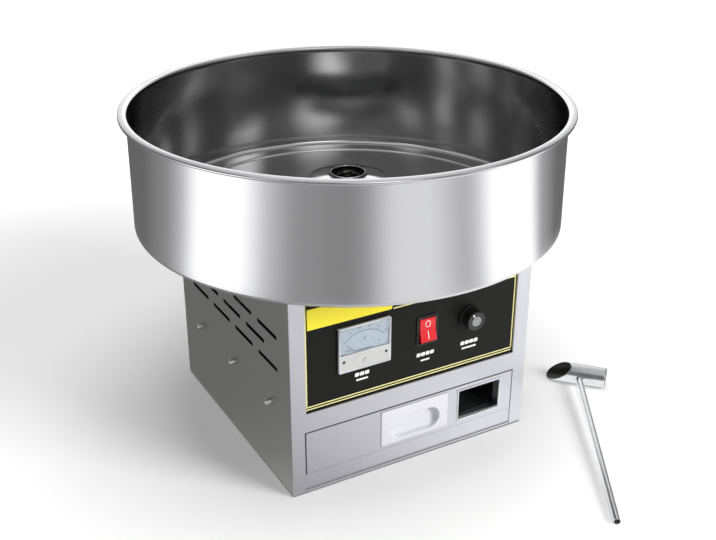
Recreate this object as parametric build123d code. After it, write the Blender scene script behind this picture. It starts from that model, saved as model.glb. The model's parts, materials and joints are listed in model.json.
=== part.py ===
"""Electric counter-top cotton candy machine with its sugar scoop.

Millimetres, +Z up, +X to the right of the control panel, -Y out of the front.
The origin is the centre of the cabinet's footprint on the counter.
"""
from build123d import *
from math import copysign, cos, pi, radians, sin, sqrt, tan
import os

# ---------------------------------------------------------------- cabinet
cabinet_width = 316.0
cabinet_depth = 316.0
cabinet_height = 257.5
sheet = 1.2                 # side, back and roof sheet
floor_sheet = 1.5
frame_sheet = 1.5
plan_corner = 2.0           # corner radius of the roof and floor in plan
flange = 12.0               # width of the folded flanges that join the sheets
flange_setback = 8.0        # flanges stop short of the corners by this much

stile_width = 19.0          # front frame, beside the control panel
drawer_stile_width = 16.8   # front frame, beside the drawer
top_rail = 17.5
mid_rail = 24.4             # between the drawer and the control panel
panel_recess = 3.0          # the control panel lies this far behind the frame's face
panel_overlap = 7.0         # and this far behind the frame all round
opening_edge_round = 1.2

slot_length = 50.0
slot_height = 5.2
slot_pitch = 65.5
slot_centre_y = -4.0
slot_row_step = 20.0
slots_above_rail = 45.0     # lowest row above the middle rail

# ---------------------------------------------------------------- drawer
drawer_gap = 0.9            # reveal around the drawer's front
drawer_height = 54.2
drawer_pan_depth = 11.2     # folded edge of the drawer's front
tray_sheet = 1.0
tray_side_inset = 7.3       # tray narrower than the front, each side
tray_lift = 1.5             # tray's underside above the front's lower edge
tray_below_top = 5.7
tray_length = 264.8
rail_height = 24.6
rail_recess = 1.5
rail_lip = 3.0
runner_clearance = 0.3
runner_side_clearance = 0.5
runner_lip = 9.0
runner_length = 276.0

handle_width = 91.5
handle_gap = 15.5           # between the handle plate and the window
handle_height = 46.5
handle_lift = 5.0           # above the drawer front's lower edge
handle_proud = 1.5
cup_width = 65.6
cup_offset = 0.55           # cup right of the plate's middle
cup_height = 27.5
cup_lift = 5.5              # above the handle plate's lower edge
cup_depth = 9.0
cup_wall = 1.6
window_width = 59.2
window_height = 39.0
window_inset = 18.6         # from the drawer front's right edge
window_lift = 8.5
window_trim = 1.6
window_trim_proud = 0.8

# ---------------------------------------------------------------- shelf above the drawer
shelf_above_drawer = 7.4
shelf_flange = 18.0
stud_rise = 12.0            # studs above the shelf
stud_pitch = 101.0
stud_centre_y = -6.0
stud_radius = 2.0
nut_across_flats = 7.0
nut_hex_length = 3.4
nut_length = 8.6
screw_head_radius = 3.8
screw_head_height = 2.2

# ---------------------------------------------------------------- controls
meter_x = -66.3
meter_below_middle = 0.7    # below the middle of the control panel's opening
meter_width = 65.5
meter_height = 55.5
meter_proud = 4.0
meter_wall = 1.5
meter_glass = 0.8
meter_apron_height = 20.0
meter_barrel_radius = 24.0
meter_barrel_length = 30.0
dial_thickness = 0.6
dial_depth = 2.4            # dial face behind the glass's outer face
needle_drop = 16.8          # pivot below the meter's middle
needle_length = 32.0
needle_tail = 7.0
needle_width = 1.0
needle_thickness = 0.4
needle_hub_radius = 2.4
needle_pin_radius = 0.75
needle_rest_angle = 45.0    # left of upright

switch_x = 16.0
switch_below_middle = 4.4
bezel_width = 28.0
bezel_height = 37.0
bezel_proud = 2.0
bezel_border = 3.0
bezel_overlap = 1.0
rocker_width = 21.0
rocker_side_gap = 0.4
rocker_end_gap = 1.2
rocker_tilt = 8.0
rocker_face_depth = 4.5     # pivot behind the pressed half's face
rocker_pin_radius = 1.5
rocker_pin_length = 1.9
switch_body_depth = 25.0
rocker_well = 15.0

knob_x = 73.0
knob_below_middle = 1.5
knob_length = 16.0
knob_skirt_radius = 13.5
knob_skirt_length = 3.6
knob_grip_radius = 12.6
knob_flutes = 18
knob_flute_radius = 0.9
knob_cap_radius = 6.3
knob_gap = 0.5
pot_shaft_radius = 3.0
pot_bush_radius = 4.5
pot_body_radius = 8.5
pot_body_length = 10.0

running_gap = 0.05          # radial, shafts and pins in their bearings
fit_gap = 0.1               # radial, fixed round parts on each other

# ---------------------------------------------------------------- bowl
bowl_rim_height = 138.5
bowl_rim_radius = 260.0     # outside of the rolled rim
bowl_taper = 2.5            # wall narrower at the bottom, on the radius
bowl_sheet = 1.0
bowl_corner = 5.5
bowl_floor_inset = 8.0      # flat floor's edge inside the foot of the wall
rim_bead_radius = 2.9
rim_bead_turn = 305.0       # how far round the rim is rolled
floor_bead_radius = 221.0
floor_bead_width = 5.0
floor_bead_height = 1.8
bowl_hole_radius = 62.0
bowl_hole_lip = 5.0
gasket_radius = 122.0
gasket_width = 8.0
gasket_height = 1.5
collar_gap = 1.2
collar_height = 9.5
collar_flange = 14.0
collar_sheet = 1.0

# ---------------------------------------------------------------- spinning head
head_side_gap = 13.0        # head smaller than the bowl's hole, so that the bowl lifts off
head_lift = 6.0             # head's underside above the collar
head_sheet = 1.2
head_base_rim = 4.0
band_inset = 2.0
band_sheet = 0.8
band_height = 24.8
band_slots = 60
band_slot_width = 1.8
cover_edge = 3.0
cover_rise = 4.0
spout_radius = 21.0
spout_rise = 4.5
heater_inset = 4.5
heater_sheet = 1.2
heater_height = 14.0
heater_lift = 5.8           # above the head's floor
heater_post_radius = 2.5
hub_radius = 12.0
hub_drop = 10.0
spindle_radius = 5.0
spindle_rise = 12.0         # above the head's underside
hub_nut_flats = 17.0
hub_nut_height = 7.0

# ---------------------------------------------------------------- drive
motor_drop = 63.3           # motor plate below the roof
motor_plate_size = 150.0
motor_plate_thickness = 3.0
motor_plate_hole = 20.0
motor_foot_radius = 5.0
motor_foot_circle = 36.0
motor_foot_length = 10.0
motor_above_shelf = 20.8    # lower cap above the shelf
motor_radius = 44.0
motor_wall = 1.2
motor_cap_height = 8.0
motor_cap_lip = 2.0
motor_cap_boss = 14.0
motor_boss_height = 6.0
air_gap = 0.6
rotor_radius = 27.0
rotor_end_gap = 10.0        # rotor shorter than the can, each end
bearing_radius = 11.0
bearing_height = 8.0
post_radius = 4.0
post_spread = 60.0
bush_radius = 10.0
bush_height = 6.0
post_nut_height = 6.0
post_nut_flats = 13.0
sleeve_lift = 9.0           # above the motor plate
sleeve_height = 38.0
sleeve_radius = 9.0
slip_ring_radius = 12.0
slip_ring_height = 8.0
slip_ring_pitch = 18.0
brush_gap = 0.3
brush_width = 8.0
brush_height = 6.0
holder_gap = 3.0            # holder's face off the slip rings
holder_length = 30.0
holder_width = 22.0
leaf_thickness = 0.6

# ---------------------------------------------------------------- electrics on the shelf
board_length = 90.0
board_width = 70.0
board_from_left = 63.0      # board's middle from the cabinet's left side
board_from_back = 93.0
board_thickness = 1.6
board_stand = 8.0
stand_radius = 3.5
sink_fins = 7
sink_fin_thickness = 2.0
sink_length = 50.0
sink_width = 32.0
sink_height = 26.0
terminal_ways = 5
terminal_pitch = 9.0
terminal_depth = 18.0
terminal_height = 14.0
terminal_from_right = 53.0
terminal_from_back = 53.0
gland_inset = 48.0          # from the cabinet's right side
gland_above_shelf = 37.0
gland_bore = 4.2
gland_thread_radius = 8.0
gland_outside = 18.0
gland_inside = 8.0
gland_nut = 6.0

# ---------------------------------------------------------------- scoop lying on the counter
scoop_radius = 13.2
scoop_wall = 0.8
scoop_front = 46.0          # from the handle's seam to the lip
scoop_back = 33.0
scoop_cut = 34.0            # how much shorter the open side is
scoop_cut_turn = 25.0       # the cut is turned this far towards the handle
handle_radius = 4.0
handle_wall = 0.8
handle_reach = 280.0
handle_foot_x = 128.5
handle_foot_y = -371.4
handle_heading = 58.7
head_heading = 132.8

# ---------------------------------------------------------------- worked out from the above
half_width = cabinet_width / 2
half_depth = cabinet_depth / 2
front = -half_depth
wall_top = cabinet_height - sheet
inner_x = half_width - sheet
inner_back = half_depth - sheet
frame_back = front + frame_sheet
panel_front = front + panel_recess
panel_back = panel_front + frame_sheet

drawer_open_x = half_width - drawer_stile_width
drawer_half = drawer_open_x - drawer_gap
drawer_low = rail_height + drawer_gap
drawer_high = drawer_low + drawer_height
pan_back = front + drawer_pan_depth
tray_half_width = drawer_half - tray_side_inset
tray_low = drawer_low + tray_lift
tray_high = drawer_high - tray_below_top
tray_back = pan_back + tray_length
window_right = drawer_half - window_inset
window_left = window_right - window_width
window_low = drawer_low + window_lift
window_high = window_low + window_height
handle_middle_x = window_left - handle_gap - handle_width / 2
cup_middle_x = handle_middle_x + cup_offset
cup_middle_z = drawer_low + handle_lift + cup_lift + cup_height / 2

mid_rail_low = drawer_high + drawer_gap
mid_rail_high = mid_rail_low + mid_rail
panel_open_x = half_width - stile_width
panel_open_top = cabinet_height - top_rail
panel_middle = (mid_rail_high + panel_open_top) / 2
shelf_height = mid_rail_low + shelf_above_drawer
shelf_top = shelf_height + sheet
stud_height = shelf_height + stud_rise
board_low = shelf_top + board_stand
board_x = board_from_left - half_width
board_y = half_depth - board_from_back
terminal_x = half_width - terminal_from_right
terminal_y = half_depth - terminal_from_back
gland_x = half_width - gland_inset
gland_z = shelf_height + gland_above_shelf

meter_z = panel_middle - meter_below_middle
glass_front = panel_front - meter_proud
dial_face = glass_front + dial_depth
needle_pivot_z = meter_z - needle_drop
switch_z = panel_middle - switch_below_middle
rocker_length = bezel_height - 2 * bezel_border - 2 * rocker_end_gap
rocker_pivot_y = panel_front - bezel_proud - 0.5 + rocker_face_depth
knob_z = panel_middle - knob_below_middle
knob_back = panel_front - knob_gap
knob_face = knob_back - knob_length

bowl_low = cabinet_height + gasket_height
bowl_top_radius = bowl_rim_radius - 2 * rim_bead_radius + bowl_sheet
bowl_bottom_radius = bowl_top_radius - bowl_taper
bowl_floor_radius = bowl_bottom_radius - bowl_floor_inset
rim_centre = bowl_low + bowl_rim_height - rim_bead_radius
collar_radius = bowl_hole_radius - collar_gap
head_radius = bowl_hole_radius - head_side_gap
head_low = cabinet_height + collar_height + head_lift
head_floor = head_low + head_sheet
band_radius = head_radius - band_inset
band_high = head_floor + band_height
cone_low = band_high + cover_edge
cone_high = cone_low + cover_rise
spout_top = cone_high + spout_rise
heater_radius = band_radius - heater_inset
heater_low = head_floor + heater_lift

plate_low = wall_top - motor_drop
plate_high = plate_low + motor_plate_thickness
cap_top = plate_low - motor_foot_length
motor_high = cap_top - motor_cap_height
cap_bottom = shelf_top + motor_above_shelf
motor_low = cap_bottom + motor_cap_height
rotor_low = motor_low + rotor_end_gap
rotor_high = motor_high - rotor_end_gap
sleeve_low = plate_high + sleeve_lift
sleeve_high = sleeve_low + sleeve_height
slip_ring_heights = [(sleeve_low + sleeve_high) / 2 + step * slip_ring_pitch / 2
                     for step in (-1, 1)]
holder_near = slip_ring_radius + holder_gap
holder_far = holder_near + holder_length


def block(x0, x1, y0, y1, z0, z1):
    """A box between two corners."""
    centre = ((x0 + x1) / 2, (y0 + y1) / 2, (z0 + z1) / 2)
    return Pos(*centre) * Box(abs(x1 - x0), abs(y1 - y0), abs(z1 - z0))


def rod(radius, z0, z1, x=0.0, y=0.0):
    """An upright cylinder."""
    return Pos(x, y, (z0 + z1) / 2) * Cylinder(radius, z1 - z0)


def tube(outer, inner, z0, z1, x=0.0, y=0.0):
    return rod(outer, z0, z1, x, y) - rod(inner, z0 - 1, z1 + 1, x, y)


def rod_y(radius, y0, y1, x, z):
    """A cylinder along Y."""
    return Pos(x, (y0 + y1) / 2, z) * Rot(90, 0, 0) * Cylinder(radius, abs(y1 - y0))


def rod_x(radius, x0, x1, y, z):
    """A cylinder along X."""
    return Pos((x0 + x1) / 2, y, z) * Rot(0, 90, 0) * Cylinder(radius, abs(x1 - x0))


def plate_y(sketch, y0, y1, x=0.0, z=0.0):
    """A flat sketch stood upright, facing -Y, from y0 back to y1."""
    plane = Plane(origin=(x, y0, z), x_dir=(1, 0, 0), z_dir=(0, -1, 0))
    return extrude(plane * sketch, amount=y1 - y0, dir=(0, 1, 0))


def plate_x(sketch, x0, x1, y=0.0, z=0.0):
    """A flat sketch stood upright across X: its first axis is Y, its second Z."""
    plane = Plane(origin=(x0, y, z), x_dir=(0, 1, 0), z_dir=(1, 0, 0))
    return extrude(plane * sketch, amount=abs(x1 - x0), dir=(copysign(1, x1 - x0), 0, 0))


def turned(points):
    """A solid of revolution about Z through (radius, height) points."""
    profile = Plane.XZ * make_face(Polyline(*points, close=True))
    return revolve(profile, Axis.Z)


def save(name, shape):
    os.makedirs("parts", exist_ok=True)
    export_step(shape, f"parts/{name}.step")


def stud_places():
    return [stud_centre_y + step * stud_pitch for step in (-1, 0, 1)]


def slot_places():
    """Brick pattern: four slots in the outer rows and three in the middle one."""
    places = []
    for row, count in enumerate((4, 3, 4)):
        height = mid_rail_high + slots_above_rail + row * slot_row_step
        for index in range(count):
            offset = (index - (count - 1) / 2) * slot_pitch
            places.append((slot_centre_y + offset, height))
    return places


# ---------------------------------------------------------------- cabinet sheets
def floor_plate():
    base = extrude(RectangleRounded(cabinet_width, cabinet_depth, plan_corner), floor_sheet)
    for side in (-1, 1):
        edge = side * inner_x
        base += block(edge, edge - side * sheet, front + 2 * flange_setback,
                      inner_back - flange_setback, floor_sheet, floor_sheet + flange)
    return base


def roof_plate():
    roof = Pos(0, 0, wall_top) * extrude(
        RectangleRounded(cabinet_width, cabinet_depth, plan_corner), sheet)
    for side in (-1, 1):
        edge = side * inner_x
        roof += block(edge, edge - side * sheet, front + 2 * flange_setback,
                      inner_back - flange_setback, wall_top - flange, wall_top)
    return roof - rod(collar_radius - collar_sheet, wall_top - 1, cabinet_height + 1)


def side_panel(side):
    outer = side * half_width
    inner = side * inner_x
    panel = block(inner, outer, frame_back, inner_back, floor_sheet, wall_top)
    panel += block(inner, inner - side * flange, inner_back - sheet, inner_back,
                   floor_sheet + flange + flange_setback, wall_top - flange - flange_setback)
    slot = SlotOverall(slot_length, slot_height)
    low, high = min(inner, outer) - 1, max(inner, outer) + 1
    for y, z in slot_places():
        panel -= plate_x(slot, low, high, y, z)
    for y in stud_places():
        panel -= rod_x(stud_radius + fit_gap, low, high, y, stud_height)
    return panel


def back_panel():
    panel = block(-half_width, half_width, inner_back, half_depth, floor_sheet, wall_top)
    return panel - rod_y(gland_thread_radius + fit_gap, inner_back - 1, half_depth + 1,
                         gland_x, gland_z)


def front_frame():
    frame = block(-half_width, half_width, front, frame_back, floor_sheet, wall_top)
    panel_hole = block(-panel_open_x, panel_open_x, front - 1, panel_front + 1,
                       mid_rail_high, panel_open_top)
    drawer_hole = block(-drawer_open_x, drawer_open_x, front - 1, pan_back + 1,
                        floor_sheet - 1, mid_rail_low)
    lining = block(-panel_open_x - frame_sheet, panel_open_x + frame_sheet,
                   frame_back, panel_front,
                   mid_rail_high - frame_sheet, panel_open_top + frame_sheet)
    drawer_lining = block(-drawer_open_x - frame_sheet, drawer_open_x + frame_sheet,
                          frame_back, pan_back, floor_sheet, mid_rail_low + frame_sheet)
    frame = frame + lining + drawer_lining - panel_hole - drawer_hole
    rims = [edge for edge in frame.edges().filter_by_position(Axis.Y, front - 0.01, front + 0.01)
            if abs(edge.center().X) < half_width - 1 and edge.center().Z < wall_top - 1
            and edge.center().Z > floor_sheet + 1]
    frame = fillet(rims, opening_edge_round)
    for side in (-1, 1):
        edge = side * inner_x
        frame += block(edge, edge - side * frame_sheet, frame_back, frame_back + flange,
                       floor_sheet, wall_top)
    return frame


def bottom_rail():
    face = front + rail_recess
    rail = block(-drawer_open_x, drawer_open_x, face, face + sheet, floor_sheet, rail_height)
    rail += block(-drawer_open_x, drawer_open_x, face, face + flange,
                  rail_height - sheet, rail_height)
    rail += block(-drawer_open_x, drawer_open_x, front, face, floor_sheet,
                  floor_sheet + rail_lip)
    return rail


def partition_shelf():
    y0 = frame_back + flange + 0.5
    y1 = inner_back - flange_setback
    shelf = block(-inner_x, inner_x, y0, y1, shelf_height, shelf_top)
    for side in (-1, 1):
        edge = side * inner_x
        wall = block(edge, edge - side * sheet, y0, y1, shelf_height,
                     shelf_height + shelf_flange)
        for y in stud_places():
            wall -= rod_x(stud_radius + fit_gap, edge - side * 3, edge + side, y, stud_height)
        shelf += wall
    for x, y in board_corners():
        shelf += rod(stand_radius, shelf_top, board_low, x, y)
    return shelf


def board_corners():
    inset = 2 * stand_radius
    return [(board_x + sx * (board_length / 2 - inset), board_y + sy * (board_width / 2 - inset))
            for sx in (-1, 1) for sy in (-1, 1)]


def shelf_screws():
    """Screws from inside the cabinet, heads on the shelf's flange."""
    screws = []
    for side in (-1, 1):
        seat = side * (inner_x - sheet)
        tip = side * (half_width + nut_length * 0.6)
        for y in stud_places():
            screw = rod_x(stud_radius, seat, tip, y, stud_height)
            screw += rod_x(screw_head_radius, seat, seat - side * screw_head_height, y,
                           stud_height)
            screws.append(screw)
    return Compound(children=screws)


def shelf_nuts():
    """Domed nuts on the outside of both side panels."""
    nuts = []
    dome_radius = nut_across_flats / 2 - 0.2
    for side in (-1, 1):
        face = side * half_width
        for y in stud_places():
            hexagon = RegularPolygon(nut_across_flats / 2, 6, major_radius=False)
            nut = plate_x(hexagon, face, face + side * nut_hex_length, y, stud_height)
            top = face + side * (nut_length - dome_radius)
            nut += rod_x(dome_radius, face, top, y, stud_height)
            nut += Pos(top, y, stud_height) * Sphere(dome_radius)
            nut -= rod_x(stud_radius + running_gap, face - side,
                         face + side * (nut_length * 0.6 + 0.2), y, stud_height)
            nuts.append(nut)
    return Compound(children=nuts)


def cable_gland():
    """Clamping gland for the mains lead, through the back panel."""
    gland = rod_y(gland_thread_radius, inner_back - gland_inside, half_depth + 1,
                  gland_x, gland_z)
    hexagon = RegularPolygon(gland_thread_radius + 3, 6, major_radius=False)
    gland += plate_y(hexagon, half_depth, half_depth + gland_nut, gland_x, gland_z)
    gland += Pos(gland_x, half_depth + gland_nut, gland_z) * Rot(-90, 0, 0) * Cone(
        gland_thread_radius + 2.5, gland_thread_radius - 1.5, gland_outside - gland_nut,
        align=(Align.CENTER, Align.CENTER, Align.MIN))
    gland += plate_y(hexagon, inner_back - gland_nut * 0.7, inner_back, gland_x, gland_z)
    return gland - rod_y(gland_bore, inner_back - gland_inside - 1,
                         half_depth + gland_outside + 1, gland_x, gland_z)


# ---------------------------------------------------------------- drawer
def drawer_runners():
    """Z-section rails standing on the floor plate, one each side."""
    rails = []
    top = tray_low - runner_clearance
    guide = tray_half_width + runner_side_clearance
    y0 = pan_back + flange - sheet
    for side in (-1, 1):
        web = side * (tray_half_width - 6)
        lip = side * guide
        y1 = y0 + runner_length
        rail = block(web, web + side * sheet, y0, y1, floor_sheet, top)
        rail += block(web, lip + side * sheet, y0, y1, top - sheet, top)
        rail += block(lip, lip + side * sheet, y0, y1, top - sheet, top + runner_lip)
        rail += block(web, web + side * flange, y0, y1, floor_sheet, floor_sheet + sheet)
        rails.append(rail)
    return Compound(children=rails)


def window_hole(margin, y0, y1):
    return block(window_left - margin, window_right + margin, y0, y1,
                 window_low - margin, window_high + margin)


def drawer_tray():
    tray = block(-tray_half_width, tray_half_width, pan_back, tray_back, tray_low, tray_high)
    tray -= block(-tray_half_width + tray_sheet, tray_half_width - tray_sheet,
                  pan_back + tray_sheet, tray_back - tray_sheet,
                  tray_low + tray_sheet, tray_high + 1)
    return tray - window_hole(0, pan_back - 1, pan_back + tray_sheet + 1)


def drawer_front():
    """A folded pan, open at the back, with a window and a seat for the handle's cup."""
    pan = block(-drawer_half, drawer_half, front, pan_back, drawer_low, drawer_high)
    front_edges = pan.faces().sort_by(Axis.Y)[0].edges()
    pan = fillet(front_edges, sheet * 0.8)
    pan -= block(-drawer_half + sheet, drawer_half - sheet, front + sheet, pan_back + 1,
                 drawer_low + sheet, drawer_high - sheet)
    cup = plate_y(cup_outline(cup_wall + fit_gap), front - 1, front + sheet + 1,
                  cup_middle_x, cup_middle_z)
    return pan - cup - window_hole(window_trim + fit_gap, front - 1, front + sheet + 1)


def cup_outline(margin):
    return SlotOverall(cup_width + 2 * margin, cup_height + 2 * margin)


def drawer_handle():
    """Moulded plate with a racetrack finger cup behind it."""
    face = front - handle_proud
    middle_z = drawer_low + handle_lift + handle_height / 2
    outline = RectangleRounded(handle_width, handle_height, 2.0)
    plate = plate_y(outline, face, front, handle_middle_x, middle_z)
    plate = chamfer(plate.faces().sort_by(Axis.Y)[0].edges(), handle_proud * 0.6)
    shell = plate_y(cup_outline(cup_wall), front, front + cup_depth, cup_middle_x, cup_middle_z)
    hollow = plate_y(cup_outline(0), face - 1, front + cup_depth - cup_wall,
                     cup_middle_x, cup_middle_z)
    floor_edges = hollow.faces().sort_by(Axis.Y)[-1].edges()
    hollow = fillet(floor_edges, cup_depth * 0.5)
    handle = plate + shell - hollow
    mouth = [edge for edge in handle.edges().filter_by_position(Axis.Y, face - 0.01, face + 0.01)
             if abs(edge.center().Z - cup_middle_z) < cup_height / 2 + 1
             and abs(edge.center().X - cup_middle_x) < cup_width / 2 + 1]
    return fillet(mouth, handle_proud * 0.8)


def drawer_window_trim():
    trim = window_hole(window_trim, front - window_trim_proud, front + sheet)
    return trim - window_hole(0, front - 3, front + 5)


# ---------------------------------------------------------------- controls
def control_panel():
    reach = panel_open_x + panel_overlap
    panel = block(-reach, reach, panel_front, panel_back, mid_rail_high - panel_overlap,
                  panel_open_top + panel_overlap)
    y0, y1 = panel_front - 1, panel_back + 1
    panel -= rod_y(meter_barrel_radius + 0.5, y0, y1, meter_x, meter_z)
    half_x = bezel_width / 2 - bezel_overlap + fit_gap
    half_z = bezel_height / 2 - bezel_overlap + fit_gap
    panel -= block(switch_x - half_x, switch_x + half_x, y0, y1,
                   switch_z - half_z, switch_z + half_z)
    return panel - rod_y(pot_bush_radius + fit_gap, y0, y1, knob_x, knob_z)


def meter_span(margin=0.0):
    return (meter_x - meter_width / 2 + margin, meter_x + meter_width / 2 - margin,
            meter_z - meter_height / 2 + margin, meter_z + meter_height / 2 - margin)


def meter_case():
    """Square-fronted case with a round barrel behind the panel and the needle's pivot pin."""
    x0, x1, z0, z1 = meter_span()
    case = block(x0, x1, glass_front, panel_front, z0, z1)
    case = fillet(case.edges().filter_by(Axis.Y), 1.5)
    a0, a1, b0, b1 = meter_span(meter_wall)
    case -= block(a0, a1, glass_front - 1, glass_front + dial_depth + dial_thickness, b0, b1)
    case += rod_y(meter_barrel_radius, panel_front, panel_front + meter_barrel_length,
                  meter_x, meter_z)
    pin_front = glass_front + meter_glass + 0.3
    return case + rod_y(needle_pin_radius, pin_front, panel_front, meter_x, needle_pivot_z)


def meter_dial():
    a0, a1, b0, b1 = meter_span(meter_wall)
    dial = block(a0, a1, dial_face, dial_face + dial_thickness, b0, b1)
    return dial - rod_y(needle_pin_radius + 0.4, dial_face - 1, dial_face + 2, meter_x,
                        needle_pivot_z)


def meter_cover(low, high):
    a0, a1, b0, b1 = meter_span(meter_wall)
    return block(a0, a1, glass_front, glass_front + meter_glass, b0 + low, b0 + high)


def zero_adjuster():
    z = meter_span(meter_wall)[2] + meter_apron_height * 0.42
    head = rod_y(3.0, glass_front - 0.8, glass_front, meter_x, z)
    return head - block(meter_x - 4, meter_x + 4, glass_front - 1, glass_front - 0.4,
                        z - 0.4, z + 0.4)


def meter_needle():
    """Pointer with a balancing tail, swung to its rest angle."""
    back = dial_face - 0.5
    y0 = back - needle_thickness
    taper = Polygon((-needle_width / 2, 0), (needle_width / 2, 0),
                    (needle_width / 6, needle_length), (-needle_width / 6, needle_length),
                    align=None)
    needle = plate_y(taper, y0, back)
    tail = Polygon((-needle_width, -needle_tail), (needle_width, -needle_tail),
                   (needle_width / 2, 0), (-needle_width / 2, 0), align=None)
    needle += plate_y(tail, y0, back)
    needle += rod_y(needle_hub_radius, y0, back, 0, 0)
    needle -= rod_y(needle_pin_radius + running_gap, y0 - 1, back + 1, 0, 0)
    return Pos(meter_x, 0, needle_pivot_z) * Rot(0, -needle_rest_angle, 0) * needle


def switch_housing():
    bezel_front = panel_front - bezel_proud
    half_x, half_z = bezel_width / 2, bezel_height / 2
    bezel = block(switch_x - half_x, switch_x + half_x, bezel_front, panel_front,
                  switch_z - half_z, switch_z + half_z)
    bezel = fillet(bezel.edges().filter_by(Axis.Y), 2.0)
    bezel = chamfer(bezel.faces().sort_by(Axis.Y)[0].edges(), bezel_proud * 0.5)
    body_x, body_z = half_x - bezel_overlap, half_z - bezel_overlap
    body = block(switch_x - body_x, switch_x + body_x, panel_front,
                 panel_front + switch_body_depth, switch_z - body_z, switch_z + body_z)
    open_x = rocker_width / 2 + rocker_side_gap
    open_z = half_z - bezel_border
    housing = bezel + body - block(switch_x - open_x, switch_x + open_x, bezel_front - 1,
                                   panel_front + rocker_well, switch_z - open_z,
                                   switch_z + open_z)
    reach = rocker_width / 2 + rocker_pin_length + 0.2
    return housing - rod_x(rocker_pin_radius + running_gap, switch_x - reach,
                           switch_x + reach, rocker_pivot_y, switch_z)


def switch_rocker():
    """V-faced rocker at rest with its upper half pressed in."""
    half = rocker_length / 2
    rise = half * tan(radians(rocker_tilt))
    profile = Polygon((-rocker_face_depth, 0), (-rocker_face_depth - rise, half),
                      (0, half - 0.8), (3.0, half - 5), (5.0, 0), (3.0, -half + 5),
                      (0, -half + 0.8), (-rocker_face_depth - rise, -half), align=None)
    rocker = plate_x(profile, -rocker_width / 2, rocker_width / 2)
    ends = [edge for edge in rocker.edges().filter_by(Axis.X)
            if edge.center().Y < -rocker_face_depth - rise + 0.5]
    rocker = fillet(ends, 1.2)
    pin = rocker_width / 2 + rocker_pin_length
    rocker += rod_x(rocker_pin_radius, -pin, pin, 0, 0)
    return Pos(switch_x, rocker_pivot_y, switch_z) * Rot(-rocker_tilt, 0, 0) * rocker


def potentiometer():
    """Round can behind the panel with its threaded bush through it."""
    can_back = panel_back + pot_body_length
    pot = rod_y(pot_body_radius, panel_back, can_back, knob_x, knob_z)
    pot += rod_y(pot_bush_radius, panel_front - 3.5, panel_back, knob_x, knob_z)
    pot += block(knob_x - 8, knob_x + 8, panel_back + 4, panel_back + 5.5,
                 knob_z - pot_body_radius - 6, knob_z)
    return pot - rod_y(pot_shaft_radius + running_gap, panel_front - 5, can_back - 2,
                       knob_x, knob_z)


def potentiometer_nut():
    nut = plate_y(RegularPolygon(5.5, 6, major_radius=False), panel_front - 2.2, panel_front,
                  knob_x, knob_z)
    return nut - rod_y(pot_bush_radius + fit_gap, panel_front - 3, panel_front + 1,
                       knob_x, knob_z)


def potentiometer_shaft():
    return rod_y(pot_shaft_radius, knob_face + 3.5, panel_back + pot_body_length - 2.5,
                 knob_x, knob_z)


def knob():
    """Skirted knob with a fluted grip, hollow over the fixing nut."""
    skirt_front = knob_back - knob_skirt_length
    body = rod_y(knob_skirt_radius, skirt_front, knob_back, knob_x, knob_z)
    body = chamfer(body.faces().sort_by(Axis.Y)[0].edges(), 1.4)
    grip = Pos(knob_x, skirt_front, knob_z) * Rot(90, 0, 0) * Cone(
        knob_grip_radius, knob_grip_radius - 1.0, knob_length - knob_skirt_length,
        align=(Align.CENTER, Align.CENTER, Align.MIN))
    grip = fillet(grip.faces().sort_by(Axis.Y)[0].edges(), 1.0)
    for index in range(knob_flutes):
        angle = 2 * pi * index / knob_flutes
        grip -= rod_y(knob_flute_radius, skirt_front - 0.6, knob_face - 1,
                      knob_x + (knob_grip_radius + 0.1) * cos(angle),
                      knob_z + (knob_grip_radius + 0.1) * sin(angle))
    body += grip
    body -= rod_y(knob_cap_radius + fit_gap, knob_face - 1, knob_face + 1.0,
                  knob_x, knob_z)
    body -= rod_y(pot_bush_radius + 2.6, knob_back - 4.5, knob_back + 1, knob_x, knob_z)
    return body - rod_y(pot_shaft_radius + running_gap, knob_face + 3.4, knob_back,
                        knob_x, knob_z)


def knob_cap():
    cap = rod_y(knob_cap_radius, knob_face - 0.5, knob_face + 1.0, knob_x, knob_z)
    return chamfer(cap.faces().sort_by(Axis.Y)[0].edges(), 0.4)


# ---------------------------------------------------------------- bowl and its seat
def bowl_half(inset, high):
    """Half of the pan's shape in section, drawn inwards by the sheet, up to a height."""
    lean = bowl_taper / (rim_centre - bowl_low)
    low = bowl_low + inset
    foot = bowl_bottom_radius - inset + lean * inset
    top = bowl_bottom_radius - inset + lean * (high - bowl_low)
    outline = Polygon((0, low), (foot, low), (top, high), (0, high), align=None)
    corner = outline.vertices().sort_by(Axis.X)[-2:].sort_by(Axis.Y)[:1]
    return fillet(corner, bowl_corner - inset)


def rolled_rim():
    """The sheet curled outwards from the top of the wall, in section."""
    curl = Circle(rim_bead_radius) - Circle(rim_bead_radius - bowl_sheet)
    end = radians(180 - rim_bead_turn)
    far = 3 * rim_bead_radius
    gap = Polygon((0, 0), (-far, 0), (-far, -far), (far * cos(end), far * sin(end)), align=None)
    return Pos(bowl_rim_radius - rim_bead_radius, rim_centre) * (curl - gap)


def bowl():
    """Wall of the spun pan, with its rolled rim and rounded corner."""
    section = bowl_half(0, rim_centre) - bowl_half(bowl_sheet, rim_centre + 1)
    section -= Pos(0, bowl_low - 1) * Rectangle(
        bowl_floor_radius + fit_gap, 10, align=(Align.MIN, Align.MIN))
    wall = revolve(Plane.XZ * section, Axis.Z)
    return wall + revolve(Plane.XZ * rolled_rim(), Axis.Z)


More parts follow.
